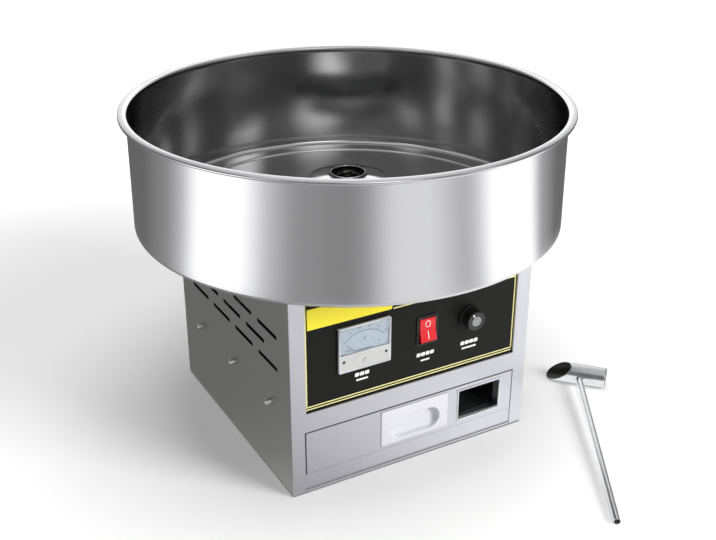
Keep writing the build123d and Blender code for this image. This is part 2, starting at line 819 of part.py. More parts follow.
def bowl_floor():
    """Flat floor of the pan, with a pressed bead and an upturned lip round the middle."""
    floor_top = bowl_low + bowl_sheet
    half = floor_bead_width / 2
    floor = tube(bowl_floor_radius, bowl_hole_radius, bowl_low, floor_top)
    floor += tube(bowl_hole_radius + bowl_sheet, bowl_hole_radius, bowl_low,
                  floor_top + bowl_hole_lip)
    return floor + turned([(floor_bead_radius - half, bowl_low + bowl_sheet / 2),
                           (floor_bead_radius - half, floor_top),
                           (floor_bead_radius - half * 0.4, floor_top + floor_bead_height),
                           (floor_bead_radius + half * 0.4, floor_top + floor_bead_height),
                           (floor_bead_radius + half, floor_top),
                           (floor_bead_radius + half, bowl_low + bowl_sheet / 2)])


def bowl_gasket():
    half = gasket_width / 2
    return tube(gasket_radius + half, gasket_radius - half, cabinet_height, bowl_low)


def bowl_collar():
    """Flanged ring on the roof that the bowl drops over."""
    ring = tube(collar_radius, collar_radius - collar_sheet, cabinet_height,
                cabinet_height + collar_height)
    return ring + tube(collar_radius + collar_flange, collar_radius - collar_sheet,
                       cabinet_height, cabinet_height + collar_sheet)


# ---------------------------------------------------------------- spinning head
def head_base():
    dish = rod(head_radius, head_low, head_low + head_base_rim)
    dish -= rod(head_radius - head_sheet, head_floor, head_low + head_base_rim + 1)
    dish = chamfer(dish.faces().sort_by(Axis.Z)[0].edges(), head_sheet * 0.6)
    dish += rod(hub_radius, head_low - hub_drop, head_low)
    return dish - rod(spindle_radius + running_gap, head_low - hub_drop - 1, head_floor + 1)


def slotted_band():
    """Perforated wall that throws the melted sugar out."""
    band = tube(band_radius, band_radius - band_sheet, head_floor, band_high)
    slot_low = head_low + head_base_rim + 3
    slot_high = band_high - 3
    for index in range(band_slots // 2):
        band -= Rot(0, 0, 360 * index / band_slots) * block(
            -band_radius - 2, band_radius + 2, -band_slot_width / 2, band_slot_width / 2,
            slot_low, slot_high)
    return band


def heater_ring():
    return tube(heater_radius, heater_radius - heater_sheet, heater_low,
                heater_low + heater_height)


def heater_posts():
    at = heater_radius - heater_sheet - heater_post_radius - fit_gap
    high = heater_low + heater_height * 0.8
    posts = [rod(heater_post_radius, head_floor, high, at * cos(angle), at * sin(angle))
             for angle in (0, 2 * pi / 3, 4 * pi / 3)]
    return Compound(children=posts)


def head_cover():
    """Flat cone with an upright sugar spout, turned in one piece."""
    edge = head_radius - 0.2
    bore = spout_radius - head_sheet
    return turned([(edge, band_high), (edge, cone_low - 1), (edge - 1, cone_low),
                   (spout_radius + 3, cone_high), (spout_radius + 0.6, cone_high + 1),
                   (spout_radius, spout_top - 0.6), (spout_radius - 0.5, spout_top),
                   (bore + 0.3, spout_top), (bore, spout_top - 0.5), (bore, cone_low - 4),
                   (spout_radius, cone_low - 4), (spout_radius, cone_high - head_sheet),
                   (edge - 3, cone_low - head_sheet - 0.6), (edge - 3, band_high)])


def spindle():
    shaft = rod(spindle_radius, cap_bottom - 3, head_low + spindle_rise)
    return chamfer(shaft.faces().sort_by(Axis.Z)[-1].edges(), 1.0)


def hub_nut():
    hexagon = RegularPolygon(hub_nut_flats / 2, 6, major_radius=False)
    nut = Pos(0, 0, head_floor) * extrude(hexagon, hub_nut_height)
    return nut - rod(spindle_radius + running_gap, head_floor - 1,
                     head_floor + hub_nut_height + 1)


def slip_ring_sleeve():
    return tube(sleeve_radius, spindle_radius + running_gap, sleeve_low, sleeve_high)


def slip_rings():
    return Compound(children=[
        tube(slip_ring_radius, sleeve_radius + running_gap, z - slip_ring_height / 2,
             z + slip_ring_height / 2) for z in slip_ring_heights])


# ---------------------------------------------------------------- drive
def motor_rotor():
    return tube(rotor_radius, spindle_radius + running_gap, rotor_low, rotor_high)


def motor_stator():
    outer = motor_radius - motor_wall - running_gap
    return tube(outer, rotor_radius + air_gap, rotor_low, rotor_high)


def motor_can():
    return tube(motor_radius, motor_radius - motor_wall, motor_low, motor_high)


def motor_cap(low, high, boss_low, boss_high, pocket_low, pocket_high):
    cap = rod(motor_radius + motor_cap_lip, low, high) + rod(motor_cap_boss, boss_low, boss_high)
    cap = cap - rod(bearing_radius + running_gap, pocket_low, pocket_high)
    return cap - rod(spindle_radius + 1, boss_low - 1, boss_high + 1)


def motor_upper_cap():
    boss_top = cap_top + motor_boss_height
    cap = motor_cap(motor_high, cap_top, motor_high, boss_top,
                    boss_top - bearing_height, boss_top + 1)
    for x, y in foot_places():
        cap += rod(motor_foot_radius, cap_top, plate_low, x, y)
    return cap


def motor_lower_cap():
    boss_bottom = cap_bottom - motor_boss_height
    return motor_cap(cap_bottom, motor_low, boss_bottom, motor_low,
                     boss_bottom - 1, boss_bottom + bearing_height)


def spindle_bearings():
    top = cap_top + motor_boss_height
    low = cap_bottom - motor_boss_height
    bore = spindle_radius + running_gap
    return Compound(children=[tube(bearing_radius, bore, top - bearing_height, top),
                              tube(bearing_radius, bore, low, low + bearing_height)])


def foot_places():
    return [(motor_foot_circle * cos(radians(a)), motor_foot_circle * sin(radians(a)))
            for a in (45, 135, 225, 315)]


def post_places():
    return [(sx * post_spread, sy * post_spread) for sx in (-1, 1) for sy in (-1, 1)]


def motor_plate():
    plate = Pos(0, 0, plate_low) * extrude(
        RectangleRounded(motor_plate_size, motor_plate_size, 8), motor_plate_thickness)
    plate -= rod(motor_plate_hole, plate_low - 1, plate_high + 1)
    for x, y in post_places():
        plate -= rod(post_radius + fit_gap, plate_low - 1, plate_high + 1, x, y)
    return plate


def motor_posts():
    """Four rods hung from the roof, each with its nut under the rubber bush."""
    posts = []
    nut_high = plate_low - bush_height
    for x, y in post_places():
        post = rod(post_radius, nut_high - post_nut_height - 3, wall_top, x, y)
        hexagon = RegularPolygon(post_nut_flats / 2, 6, major_radius=False)
        nut = extrude(hexagon, post_nut_height)
        posts.append(post + Pos(x, y, nut_high - post_nut_height) * nut)
    return Compound(children=posts)


def rubber_bushes():
    bushes = []
    for x, y in post_places():
        bore = post_radius + fit_gap
        bushes.append(tube(bush_radius, bore, plate_high, plate_high + bush_height, x, y))
        bushes.append(tube(bush_radius, bore, plate_low - bush_height,
                           plate_low, x, y))
    return Compound(children=bushes)


def brush_holder():
    """Insulating block with one brush channel for each slip ring."""
    holder = block(holder_near, holder_far, -holder_width / 2, holder_width / 2,
                   plate_high, sleeve_high + 4)
    for z in slip_ring_heights:
        holder -= block(holder_near - 1, holder_far + 1, -brush_width / 2 - fit_gap,
                        brush_width / 2 + fit_gap, z - brush_height / 2 - fit_gap,
                        z + brush_height / 2 + fit_gap)
    return holder


def carbon_brushes():
    """Brushes with tips hollowed to the slip rings."""
    tip = slip_ring_radius + brush_gap
    brushes = []
    for z in slip_ring_heights:
        brush = block(slip_ring_radius - 3, holder_far, -brush_width / 2, brush_width / 2,
                      z - brush_height / 2, z + brush_height / 2)
        brushes.append(brush - rod(tip, z - brush_height, z + brush_height))
    return Compound(children=brushes)


def brush_leaf_spring():
    return block(holder_far, holder_far + leaf_thickness, -brush_width / 2, brush_width / 2,
                 plate_high, slip_ring_heights[-1] + brush_height)


# ---------------------------------------------------------------- electrics
def regulator_board():
    return block(board_x - board_length / 2, board_x + board_length / 2,
                 board_y - board_width / 2, board_y + board_width / 2,
                 board_low, board_low + board_thickness)


def heat_sink():
    """Finned block on the regulator board."""
    low = board_low + board_thickness
    x0, x1 = board_x - sink_length / 2, board_x + sink_length / 2
    y0 = board_y - sink_width / 2
    sink = block(x0, x1, y0, y0 + sink_width, low, low + 5)
    step = (sink_width - sink_fin_thickness) / (sink_fins - 1)
    for index in range(sink_fins):
        at = y0 + index * step
        sink += block(x0, x1, at, at + sink_fin_thickness, low, low + sink_height)
    return sink


def terminal_block():
    """Screw terminals between raised barriers."""
    half = terminal_ways * terminal_pitch / 2
    y0, y1 = terminal_y - terminal_depth / 2, terminal_y + terminal_depth / 2
    wall = 0.75
    strip = block(terminal_x - half - wall, terminal_x + half + wall, y0, y1,
                  shelf_top, shelf_top + terminal_height / 2)
    for index in range(terminal_ways + 1):
        at = terminal_x - half + index * terminal_pitch
        strip += block(at - wall, at + wall, y0, y1, shelf_top, shelf_top + terminal_height)
    return strip


# ---------------------------------------------------------------- scoop
def scoop_frames():
    """Where the handle starts and where the head's axis meets the handle's line."""
    rise = scoop_radius - handle_radius
    run = sqrt(handle_reach ** 2 - rise ** 2)
    heading = radians(handle_heading)
    foot = Vector(handle_foot_x, handle_foot_y, handle_radius)
    along = Vector(run * cos(heading), run * sin(heading), rise) / handle_reach
    seam = foot + along * handle_reach
    axis = Vector(cos(radians(head_heading)), sin(radians(head_heading)), 0)
    side = (along - axis * along.dot(axis)).normalized()
    middle = seam + side * scoop_radius
    middle = Vector(middle.X, middle.Y, scoop_radius)
    return foot, along, seam, axis, side, middle


def scoop_head():
    """Tube closed at the back, its mouth cut on a slant that faces up."""
    foot, along, seam, axis, side, middle = scoop_frames()
    length = scoop_front + scoop_back
    low = (Align.CENTER, Align.CENTER, Align.MIN)
    head = Cylinder(scoop_radius, length, align=low)
    head -= Pos(0, 0, scoop_wall) * Cylinder(scoop_radius - scoop_wall, length, align=low)
    reach = scoop_radius + 2
    slope = scoop_cut / (2 * scoop_radius)
    wedge = Polygon((-reach, length + slope * (reach - scoop_radius)),
                    (reach, length - slope * (reach + scoop_radius)),
                    (reach, length + 5), (-reach, length + 5), align=None)
    head -= extrude(Plane.XZ * wedge, reach, both=True)
    turn = radians(scoop_cut_turn)
    open_side = Vector(0, 0, 1) * cos(turn) - side * sin(turn)
    place = Plane(origin=middle - axis * scoop_back, x_dir=open_side, z_dir=axis)
    return place * head


def scoop_handle():
    """Open-ended tube, notched to sit on the head's side."""
    foot, along, seam, axis, side, middle = scoop_frames()
    low = (Align.CENTER, Align.CENTER, Align.MIN)
    handle = Cylinder(handle_radius, handle_reach + scoop_radius, align=low)
    handle -= Cylinder(handle_radius - handle_wall, handle_reach + scoop_radius, align=low)
    handle = Plane(origin=foot, z_dir=along) * handle
    head_space = Plane(origin=middle - axis * 200, z_dir=axis) * Cylinder(
        scoop_radius + fit_gap, 400, align=low)
    pieces = (handle - head_space).solids().sort_by(SortBy.VOLUME)
    return pieces[-1]


parts = {
    "bottom_plate": floor_plate(),
    "front_frame": front_frame(),
    "left_side_panel": side_panel(-1),
    "right_side_panel": side_panel(1),
    "back_panel": back_panel(),
    "top_plate": roof_plate(),
    "bottom_rail": bottom_rail(),
    "partition_shelf": partition_shelf(),
    "shelf_screws": shelf_screws(),
    "shelf_nuts": shelf_nuts(),
    "cable_gland": cable_gland(),
    "drawer_runners": drawer_runners(),
    "drawer_tray": drawer_tray(),
    "drawer_front": drawer_front(),
    "drawer_handle": drawer_handle(),
    "drawer_window_trim": drawer_window_trim(),
    "control_panel": control_panel(),
    "meter_case": meter_case(),
    "meter_dial": meter_dial(),
    "meter_window": meter_cover(meter_apron_height, meter_height - 2 * meter_wall),
    "meter_apron": meter_cover(0, meter_apron_height),
    "zero_adjuster": zero_adjuster(),
    "meter_needle": meter_needle(),
    "switch_housing": switch_housing(),
    "switch_rocker": switch_rocker(),
    "potentiometer": potentiometer(),
    "potentiometer_nut": potentiometer_nut(),
    "potentiometer_shaft": potentiometer_shaft(),
    "knob": knob(),
    "knob_cap": knob_cap(),
    "bowl": bowl(),
    "bowl_floor": bowl_floor(),
    "bowl_gasket": bowl_gasket(),
    "bowl_collar": bowl_collar(),
    "head_base": head_base(),
    "slotted_band": slotted_band(),
    "heater_ring": heater_ring(),
    "heater_posts": heater_posts(),
    "head_cover": head_cover(),
    "spindle": spindle(),
    "hub_nut": hub_nut(),
    "slip_ring_sleeve": slip_ring_sleeve(),
    "slip_rings": slip_rings(),
    "motor_rotor": motor_rotor(),
    "motor_stator": motor_stator(),
    "motor_can": motor_can(),
    "motor_upper_cap": motor_upper_cap(),
    "motor_lower_cap": motor_lower_cap(),
    "spindle_bearings": spindle_bearings(),
    "motor_plate": motor_plate(),
    "motor_posts": motor_posts(),
    "rubber_bushes": rubber_bushes(),
    "brush_holder": brush_holder(),
    "carbon_brushes": carbon_brushes(),
    "brush_leaf_spring": brush_leaf_spring(),
    "regulator_board": regulator_board(),
    "heat_sink": heat_sink(),
    "terminal_block": terminal_block(),
    "scoop_head": scoop_head(),
    "scoop_handle": scoop_handle(),
}
for name, shape in parts.items():
    save(name, shape)
print(len(parts), "sub-parts written")
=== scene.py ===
"""Looks of the counter-top cotton candy machine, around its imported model.

Metres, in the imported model's frame: +Z up, +X to the right of the control panel,
-Y out of the front, origin under the middle of the cabinet.
"""
import json
from math import atan2, copysign, cos, pi, radians, sin, sqrt, tan

import bmesh
import bpy
from mathutils import Matrix, Vector


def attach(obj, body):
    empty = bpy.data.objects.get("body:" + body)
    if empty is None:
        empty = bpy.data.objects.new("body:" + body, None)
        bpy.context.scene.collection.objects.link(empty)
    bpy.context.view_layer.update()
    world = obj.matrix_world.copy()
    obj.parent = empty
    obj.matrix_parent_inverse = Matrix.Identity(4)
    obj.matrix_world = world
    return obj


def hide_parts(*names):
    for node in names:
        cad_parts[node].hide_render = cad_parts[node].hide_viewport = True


bpy.ops.wm.read_factory_settings(use_empty=True)
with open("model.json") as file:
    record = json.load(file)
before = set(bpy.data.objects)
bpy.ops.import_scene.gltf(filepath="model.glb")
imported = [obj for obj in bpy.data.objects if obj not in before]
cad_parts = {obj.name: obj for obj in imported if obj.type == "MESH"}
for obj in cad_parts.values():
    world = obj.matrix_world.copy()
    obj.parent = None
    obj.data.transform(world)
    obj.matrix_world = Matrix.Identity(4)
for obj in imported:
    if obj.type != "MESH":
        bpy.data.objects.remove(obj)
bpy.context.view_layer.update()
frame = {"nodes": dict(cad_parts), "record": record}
nodes = frame["nodes"]
scene = bpy.context.scene
MM = 0.001


# ---------------------------------------------------------------- materials
def linear(code):
    """A colour written as sRGB hex, as linear red, green, blue and a full alpha."""
    parts = [int(code[i:i + 2], 16) / 255 for i in (1, 3, 5)]
    return tuple(c / 12.92 if c <= 0.04045 else ((c + 0.055) / 1.055) ** 2.4
                 for c in parts) + (1.0,)


def add_node(tree, kind, settings=None, **links):
    """Adds a node; its inputs are set to values, or linked where a socket is given."""
    node = tree.nodes.new(kind)
    for key, value in (settings or {}).items():
        setattr(node, key, value)
    for key, value in links.items():
        name = key.replace("_", " ")
        socket = node.inputs[int(key[1:])] if key[1:].isdigit() else node.inputs[name]
        if isinstance(value, bpy.types.NodeSocket):
            tree.links.new(value, socket)
        else:
            socket.default_value = value
    return node


def new_material(name):
    """A material with one principled shader, and the object's own coordinates in metres."""
    material = bpy.data.materials.new(name)
    material.use_nodes = True
    tree = material.node_tree
    tree.nodes.clear()
    out = add_node(tree, "ShaderNodeOutputMaterial")
    shader = add_node(tree, "ShaderNodeBsdfPrincipled")
    tree.links.new(shader.outputs[0], out.inputs["Surface"])
    place = add_node(tree, "ShaderNodeTexCoord").outputs["Object"]
    return material, tree, shader, place


def stretched(tree, place, scale):
    """Coordinates in millimetres, divided by the grain's length along each axis."""
    mapping = add_node(tree, "ShaderNodeMapping", Vector=place)
    mapping.inputs["Scale"].default_value = [1000 / s for s in scale]
    return mapping.outputs[0]


def grain(tree, place, scale):
    """A 0..1 pattern whose marks are as long as the scale says, in mm along each axis."""
    return add_node(tree, "ShaderNodeTexNoise", Vector=stretched(tree, place, scale),
                    Scale=1.0, Detail=4.0).outputs["Fac"]


def spread(tree, value, low, high):
    """A 0..1 pattern, brought between two values."""
    return add_node(tree, "ShaderNodeMapRange", Value=value, To_Min=low, To_Max=high
                    ).outputs["Result"]


def tinted(tree, value, dark, light):
    """A 0..1 pattern, coloured from its dark tone to its light one."""
    ramp = add_node(tree, "ShaderNodeValToRGB", Fac=value)
    ramp.color_ramp.elements[0].position = 0.3
    ramp.color_ramp.elements[1].position = 0.7
    ramp.color_ramp.elements[0].color = linear(dark)
    ramp.color_ramp.elements[1].color = linear(light)
    return ramp.outputs["Color"]


def bumped(tree, shader, value, height_mm):
    """Raises the pattern by a height in mm."""
    bump = add_node(tree, "ShaderNodeBump", Strength=0.3, Distance=height_mm * MM,
                    Height=value)
    tree.links.new(bump.outputs[0], shader.inputs["Normal"])


def metal(name, dark, light, rough, spread_by, scale, bump_mm=0.0, turned=0.0):
    """A bare metal whose tone and gloss vary along its grain."""
    material, tree, shader, place = new_material(name)
    lines = grain(tree, place, scale)
    tree.links.new(tinted(tree, lines, dark, light), shader.inputs["Base Color"])
    tree.links.new(spread(tree, lines, rough - spread_by, rough + spread_by),
                   shader.inputs["Roughness"])
    shader.inputs["Metallic"].default_value = 1.0
    if bump_mm:
        bumped(tree, shader, lines, bump_mm)
    if turned:
        shader.inputs["Anisotropic"].default_value = turned
        tangent = add_node(tree, "ShaderNodeTangent", {"direction_type": "RADIAL", "axis": "Z"})
        tree.links.new(tangent.outputs[0], shader.inputs["Tangent"])
    return material


def coat(name, dark, light, rough, scale, bump_mm=0.02, ior=1.5):
    """Paint or moulded plastic with a fine surface texture."""
    material, tree, shader, place = new_material(name)
    texture = grain(tree, place, scale)
    tree.links.new(tinted(tree, texture, dark, light), shader.inputs["Base Color"])
    tree.links.new(spread(tree, texture, rough - 0.04, rough + 0.04),
                   shader.inputs["Roughness"])
    shader.inputs["IOR"].default_value = ior
    bumped(tree, shader, texture, bump_mm)
    return material


# Spun 304 stainless steel: mirror bright, with faint rings left by the spinning roller, 0.8 mm
# apart, that smear its reflections up and down.
spun_steel = metal("spun_304_stainless", "#c5c5c7", "#c7c7c9", 0.15, 0.01, (60, 60, 0.8),
                   turned=0.6)
# The same sheet inside the bowl: buffed, a little darker, in cloudy patches some 70 mm across.
buffed_steel = metal("buffed_304_stainless", "#b4b4b4", "#bebebe", 0.13, 0.02, (70, 70, 70))
# Upright-brushed 430 stainless sheet: fine grey lines, drawn 0.6 mm wide to show.
brushed_steel = metal("brushed_430_stainless", "#bcbcc2", "#c3c3c9", 0.33, 0.03,
                      (0.6, 0.6, 60), bump_mm=0.01)
# Satin grey side sheets, brushed upright and left dull.
dull_steel = metal("satin_430_stainless", "#a0a19f", "#a7a8a5", 0.33, 0.03, (0.8, 0.8, 40),
                   bump_mm=0.01)
# Buffed stainless of the scoop and the spindle: bright, with soft reflections.
scoop_steel = metal("buffed_stainless_tube", "#babbbd", "#c5c6c8", 0.16, 0.02, (8, 8, 8))
# The tube's unpolished bore: dull mill finish, its dark grey a painted shade for the inside of
# the tube.
painted_shade_bore = metal("dull_bore_with_painted_shade", "#242423", "#333331", 0.42, 0.05, (5, 5, 5))
# Anodised insert in the knob: matt grey with a 0.5 mm speckle.
insert_metal = metal("anodised_aluminium", "#8f9090", "#a3a4a4", 0.36, 0.05, (0.5, 9, 0.5))
# Turned cast aluminium: bright, in upright streaks 0.5 mm wide that end as specks on top.
turned_aluminium = metal("turned_aluminium", "#b4b5b6", "#c5c6c7", 0.22, 0.05, (0.5, 0.5, 9))
# Polished face of the head: mirror bright.
polished_cast = metal("polished_aluminium", "#bcbcbc", "#c6c6c6", 0.09, 0.02, (20, 20, 20))
# Zinc-plated sheet: pale spangle patches some 6 mm across.
zinc = metal("zinc_plated_sheet", "#8f9294", "#a9acae", 0.38, 0.08, (6, 6, 6))
# Nickel-plated fasteners: bright, with faint short marks 2 mm long.
nickel = metal("nickel_plate", "#c4c4c0", "#d6d6d3", 0.12, 0.03, (2, 2, 0.5))
# Turned brass: warm yellow, in upright streaks 0.5 mm wide and 6 mm long.
brass = metal("turned_brass", "#a98a45", "#c2a25a", 0.28, 0.05, (0.5, 0.5, 6))
# Oxidised nickel-chrome ribbon: dull brown-grey.
ribbon = metal("oxidised_nichrome", "#4c4642", "#6a625c", 0.5, 0.08, (3, 3, 1))
# Varnished motor laminations: blue-grey sheets 0.5 mm thick.
lamination = metal("varnished_laminations", "#43434a", "#565660", 0.45, 0.06, (30, 30, 0.5))
# Satin black powder coat: fine orange peel, 1.2 mm grain.
panel_black = coat("satin_black_powder_coat", "#151614", "#191a18", 0.42, (1.2, 1.2, 1.2),
                   ior=1.2)
# Black phenolic and ABS mouldings: a slight sheen over a 0.8 mm spark-eroded texture.
black_plastic = coat("black_abs_moulding", "#101110", "#161716", 0.32, (0.8, 0.8, 0.8))
# White ABS mouldings of the meter, handle and trim: a faint cold tint and a soft sheen.
white_plastic = coat("white_abs_moulding", "#d6d6dc", "#dedee3", 0.30, (1.0, 1.0, 1.0))
# Red polycarbonate rocker: strong colour under a clear gloss.
red_plastic = coat("red_polycarbonate", "#cc0e18", "#d81522", 0.24, (2.0, 2.0, 2.0), 0.01)
# Frosted acrylic apron of the meter: mottled pale grey.
frosted_plastic = coat("frosted_acrylic", "#b6b7b4", "#cbccc9", 0.40, (1.6, 1.6, 1.6))
# Printed dial card: pale blue-grey and matt.
dial_card = coat("printed_dial_card", "#aeb4bc", "#b6bcc4", 0.5, (3.0, 3.0, 3.0), 0.005)
# Nitrile rubber: flat black.
rubber = coat("moulded_nitrile_rubber", "#161616", "#1d1d1d", 0.7, (1.0, 1.0, 1.0))
# Carbon brushes: dull black with a grey grain.
carbon = coat("carbon_brush", "#202022", "#2b2b2e", 0.55, (0.7, 0.7, 0.7))
# Glass-fibre board under green solder mask.
board_green = coat("glass_fibre_board", "#1d5a2c", "#24693a", 0.4, (0.9, 0.9, 0.9))
# Screen inks: thin, even colour with next to no texture.
yellow_ink = coat("yellow_screen_ink", "#ffea20", "#fff02c", 0.45, (0.5, 0.5, 0.5), 0.005)
pale_ink = coat("pale_yellow_screen_ink", "#e9e29a", "#efe8a4", 0.45, (0.5, 0.5, 0.5), 0.005)
white_ink = coat("white_screen_ink", "#f1f1ec", "#f8f8f4", 0.5, (0.5, 0.5, 0.5), 0.005)
black_ink = coat("black_screen_ink", "#141510", "#1a1b17", 0.5, (0.5, 0.5, 0.5), 0.005)
rose_ink = coat("rose_white_ink", "#f6c3c0", "#fbd2cf", 0.5, (0.5, 0.5, 0.5), 0.005)
grey_ink = coat("grey_dial_ink", "#55606c", "#5f6b77", 0.5, (0.5, 0.5, 0.5), 0.005)


def clear_plastic():
    """Cast acrylic window: clear, with faint wiping marks in its gloss."""
    material, tree, shader, place = new_material("cast_acrylic")
    shader.inputs["Base Color"].default_value = linear("#f4f8fa")
    shader.inputs["Transmission Weight"].default_value = 1.0
    shader.inputs["IOR"].default_value = 1.2
    wiping = grain(tree, place, (14, 14, 5))
    tree.links.new(spread(tree, wiping, 0.02, 0.06), shader.inputs["Roughness"])
    return material


acrylic = clear_plastic()

finishes = {
    spun_steel: ("bowl", "bowl_collar"),
    buffed_steel: ("bowl_floor",),
    brushed_steel: ("front_frame", "bottom_rail", "drawer_front"),
    dull_steel: ("left_side_panel", "right_side_panel", "back_panel", "top_plate",
                 "bottom_plate"),
    scoop_steel: ("scoop_head", "scoop_handle", "spindle"),
    polished_cast: ("head_cover",),
    turned_aluminium: ("head_base", "slotted_band", "knob_cap",
                       "motor_upper_cap", "motor_lower_cap", "heat_sink"),
    zinc: ("partition_shelf", "drawer_runners", "drawer_tray", "potentiometer", "motor_can",
           "motor_plate"),
    nickel: ("shelf_screws", "shelf_nuts", "potentiometer_nut", "hub_nut",
             "spindle_bearings", "motor_posts"),
    brass: ("potentiometer_shaft", "heater_posts", "slip_rings", "brush_leaf_spring"),
    ribbon: ("heater_ring",),
    lamination: ("motor_rotor", "motor_stator"),
    panel_black: ("control_panel",),
    black_plastic: ("cable_gland", "switch_housing", "knob", "slip_ring_sleeve",
                    "brush_holder", "terminal_block", "meter_needle"),
    white_plastic: ("drawer_handle", "drawer_window_trim", "meter_case"),
    red_plastic: ("switch_rocker",),
    frosted_plastic: ("meter_apron", "zero_adjuster"),
    dial_card: ("meter_dial",),
    rubber: ("bowl_gasket", "rubber_bushes"),
    carbon: ("carbon_brushes",),
    board_green: ("regulator_board",),
    acrylic: ("meter_window",),
}
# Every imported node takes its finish, also one that a closer shape replaces further down.
for material, names in finishes.items():
    for name in names:
        nodes[name].data.materials.clear()
        nodes[name].data.materials.append(material)
body_of_node = {name: body for body, names in frame["record"]["behaviour"]["bodies"].items()
                for name in names}
material_of_node = {name: material for material, names in finishes.items() for name in names}


# ---------------------------------------------------------------- mesh helpers
def piece(name, mesh, material, body, replaces=()):
    """Makes a finished object at the origin, parents it to its body and hides the nodes it
    replaces.
    """
    obj = bpy.data.objects.new(name, mesh)
    scene.collection.objects.link(obj)
    obj.data.materials.clear()
    obj.data.materials.append(material)
    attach(obj, body)
    if replaces:
        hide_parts(*replaces)
    return obj


def shade(mesh, angle=35):
    """Smooth faces, with creases where they meet at more than an angle."""
    mesh.shade_smooth()
    mesh.set_sharp_from_angle(angle=radians(angle))


def from_bmesh(name, bm, angle=35):
    """A finished mesh: doubles merged, faces turned outward, shaded smooth."""
    bmesh.ops.remove_doubles(bm, verts=bm.verts, dist=1e-6)
    bmesh.ops.recalc_face_normals(bm, faces=bm.faces)
    mesh = bpy.data.meshes.new(name)
    bm.to_mesh(mesh)
    bm.free()
    shade(mesh, angle)
    return mesh


def evenly_lit(mesh):
    """The same mesh with its flat faces shaded flat and its narrow edge roundings smooth."""
    temporary = bpy.data.objects.new("weighting", mesh)
    scene.collection.objects.link(temporary)
    weighting = temporary.modifiers.new("weighting", "WEIGHTED_NORMAL")
    weighting.keep_sharp = True
    graph = bpy.context.evaluated_depsgraph_get()
    result = bpy.data.meshes.new_from_object(temporary.evaluated_get(graph), depsgraph=graph)
    temporary.modifiers.clear()
    bpy.data.objects.remove(temporary)
    return result


def smooth_copy(name, angle=50, eased=0.0):
    """A node's own shape, merged, its edges eased, shaded smooth, to stand for the node."""
    bm = bmesh.new()
    bm.from_mesh(nodes[name].data)
    bmesh.ops.remove_doubles(bm, verts=bm.verts, dist=1e-6)
    if eased:
        bmesh.ops.dissolve_limit(bm, angle_limit=radians(1), verts=bm.verts, edges=bm.edges)
        corners = [edge for edge in bm.edges if len(edge.link_faces) == 2
                   and edge.calc_face_angle() > radians(60)]
        bmesh.ops.bevel(bm, geom=corners, offset=eased * MM, segments=2, profile=0.5,
                        affect="EDGES", clamp_overlap=True)
    mesh = evenly_lit(from_bmesh(name + "_smooth", bm, angle))
    piece(name + "_smooth", mesh, material_of_node[name], body_of_node[name],
          (name,))


def put(bm, points):
    """Vertices from points in millimetres."""
    return [bm.verts.new((x * MM, y * MM, z * MM)) for x, y, z in points]


def skin(bm, rings, closed=True):
    """Quads between rings of vertices; a closed skin joins the last ring to the first."""
    count = len(rings)
    for i in range(count if closed else count - 1):
        here, there = rings[i], rings[(i + 1) % count]
        for j in range(len(here)):
            k = (j + 1) % len(here)
            bm.faces.new((here[j], there[j], there[k], here[k]))


def lathe(name, points, segments, angle=30):
    """Spins a closed profile of (radius, height) points in mm about Z."""
    bm = bmesh.new()
    skin(bm, [put(bm, [(r * cos(a), r * sin(a), z) for r, z in points])
              for a in (2 * pi * i / segments for i in range(segments))])
    return from_bmesh(name, bm, angle)


def arc(cx, cz, r, start, end, steps):
    """Points along an arc, in degrees."""
    return [(cx + r * cos(radians(start + (end - start) * i / steps)),
             cz + r * sin(radians(start + (end - start) * i / steps)))
            for i in range(steps + 1)]


def prism(bm, outline, y0, y1):
    """A solid from an (x, z) outline in mm, between two depths."""
    rings = [put(bm, [(x, y, z) for x, z in outline]) for y in (y0, y1)]
    skin(bm, rings, closed=False)
    bm.faces.new(rings[0])
    bm.faces.new(rings[1][::-1])


def bar(bm, x, z, width, height, y0, y1, radius=0.4, lean=0.0):
    """A rounded bar centred at (x, z), leaning to the right by a share of its height."""
    half_w, half_h = width / 2 - radius, height / 2 - radius
    outline = []
    for sx, sz, start in ((1, 1, 0), (-1, 1, 90), (-1, -1, 180), (1, -1, 270)):
        outline += arc(sx * half_w, sz * half_h, radius, start, start + 90, 4)
    prism(bm, [(x + px + lean * pz, z + pz) for px, pz in outline], y0, y1)


def band_arc(bm, cx, cz, rx, rz, wide, y0, y1, start, end, steps):
    """A flat arc or ring of one width, in degrees from +X towards +Z."""
    whole = abs(end - start) >= 360
    rings = []
    for i in range(steps if whole else steps + 1):
        a = radians(start + (end - start) * i / steps)
        outer = (cx + rx * cos(a), cz + rz * sin(a))
        inner = (cx + (rx - wide) * cos(a), cz + (rz - wide) * sin(a))
        rings.append(put(bm, [(outer[0], y0, outer[1]), (outer[0], y1, outer[1]),
                              (inner[0], y1, inner[1]), (inner[0], y0, inner[1])]))
    skin(bm, rings, closed=whole)
    if not whole:
        bm.faces.new(rings[0])
        bm.faces.new(rings[-1][::-1])


def words(bm, text, x, z, height, y0, y1):
    """A number or unit in the plain built-in typeface, centred at (x, z)."""
    curve = bpy.data.curves.new("words", "FONT")
    curve.body = text
    curve.align_x, curve.align_y = "CENTER", "CENTER"
    curve.size = height * 1.38 * MM
    curve.extrude = abs(y1 - y0) / 2 * MM
    holder = bpy.data.objects.new("words", curve)
    scene.collection.objects.link(holder)
    graph = bpy.context.evaluated_depsgraph_get()
    mesh = bpy.data.meshes.new_from_object(holder.evaluated_get(graph), depsgraph=graph)
    bpy.data.objects.remove(holder)
    mesh.transform(Matrix.Translation((x * MM, (y0 + y1) / 2 * MM, z * MM))
                   @ Matrix.Rotation(radians(90), 4, "X"))
    bm.from_mesh(mesh)
    bpy.data.meshes.remove(mesh)


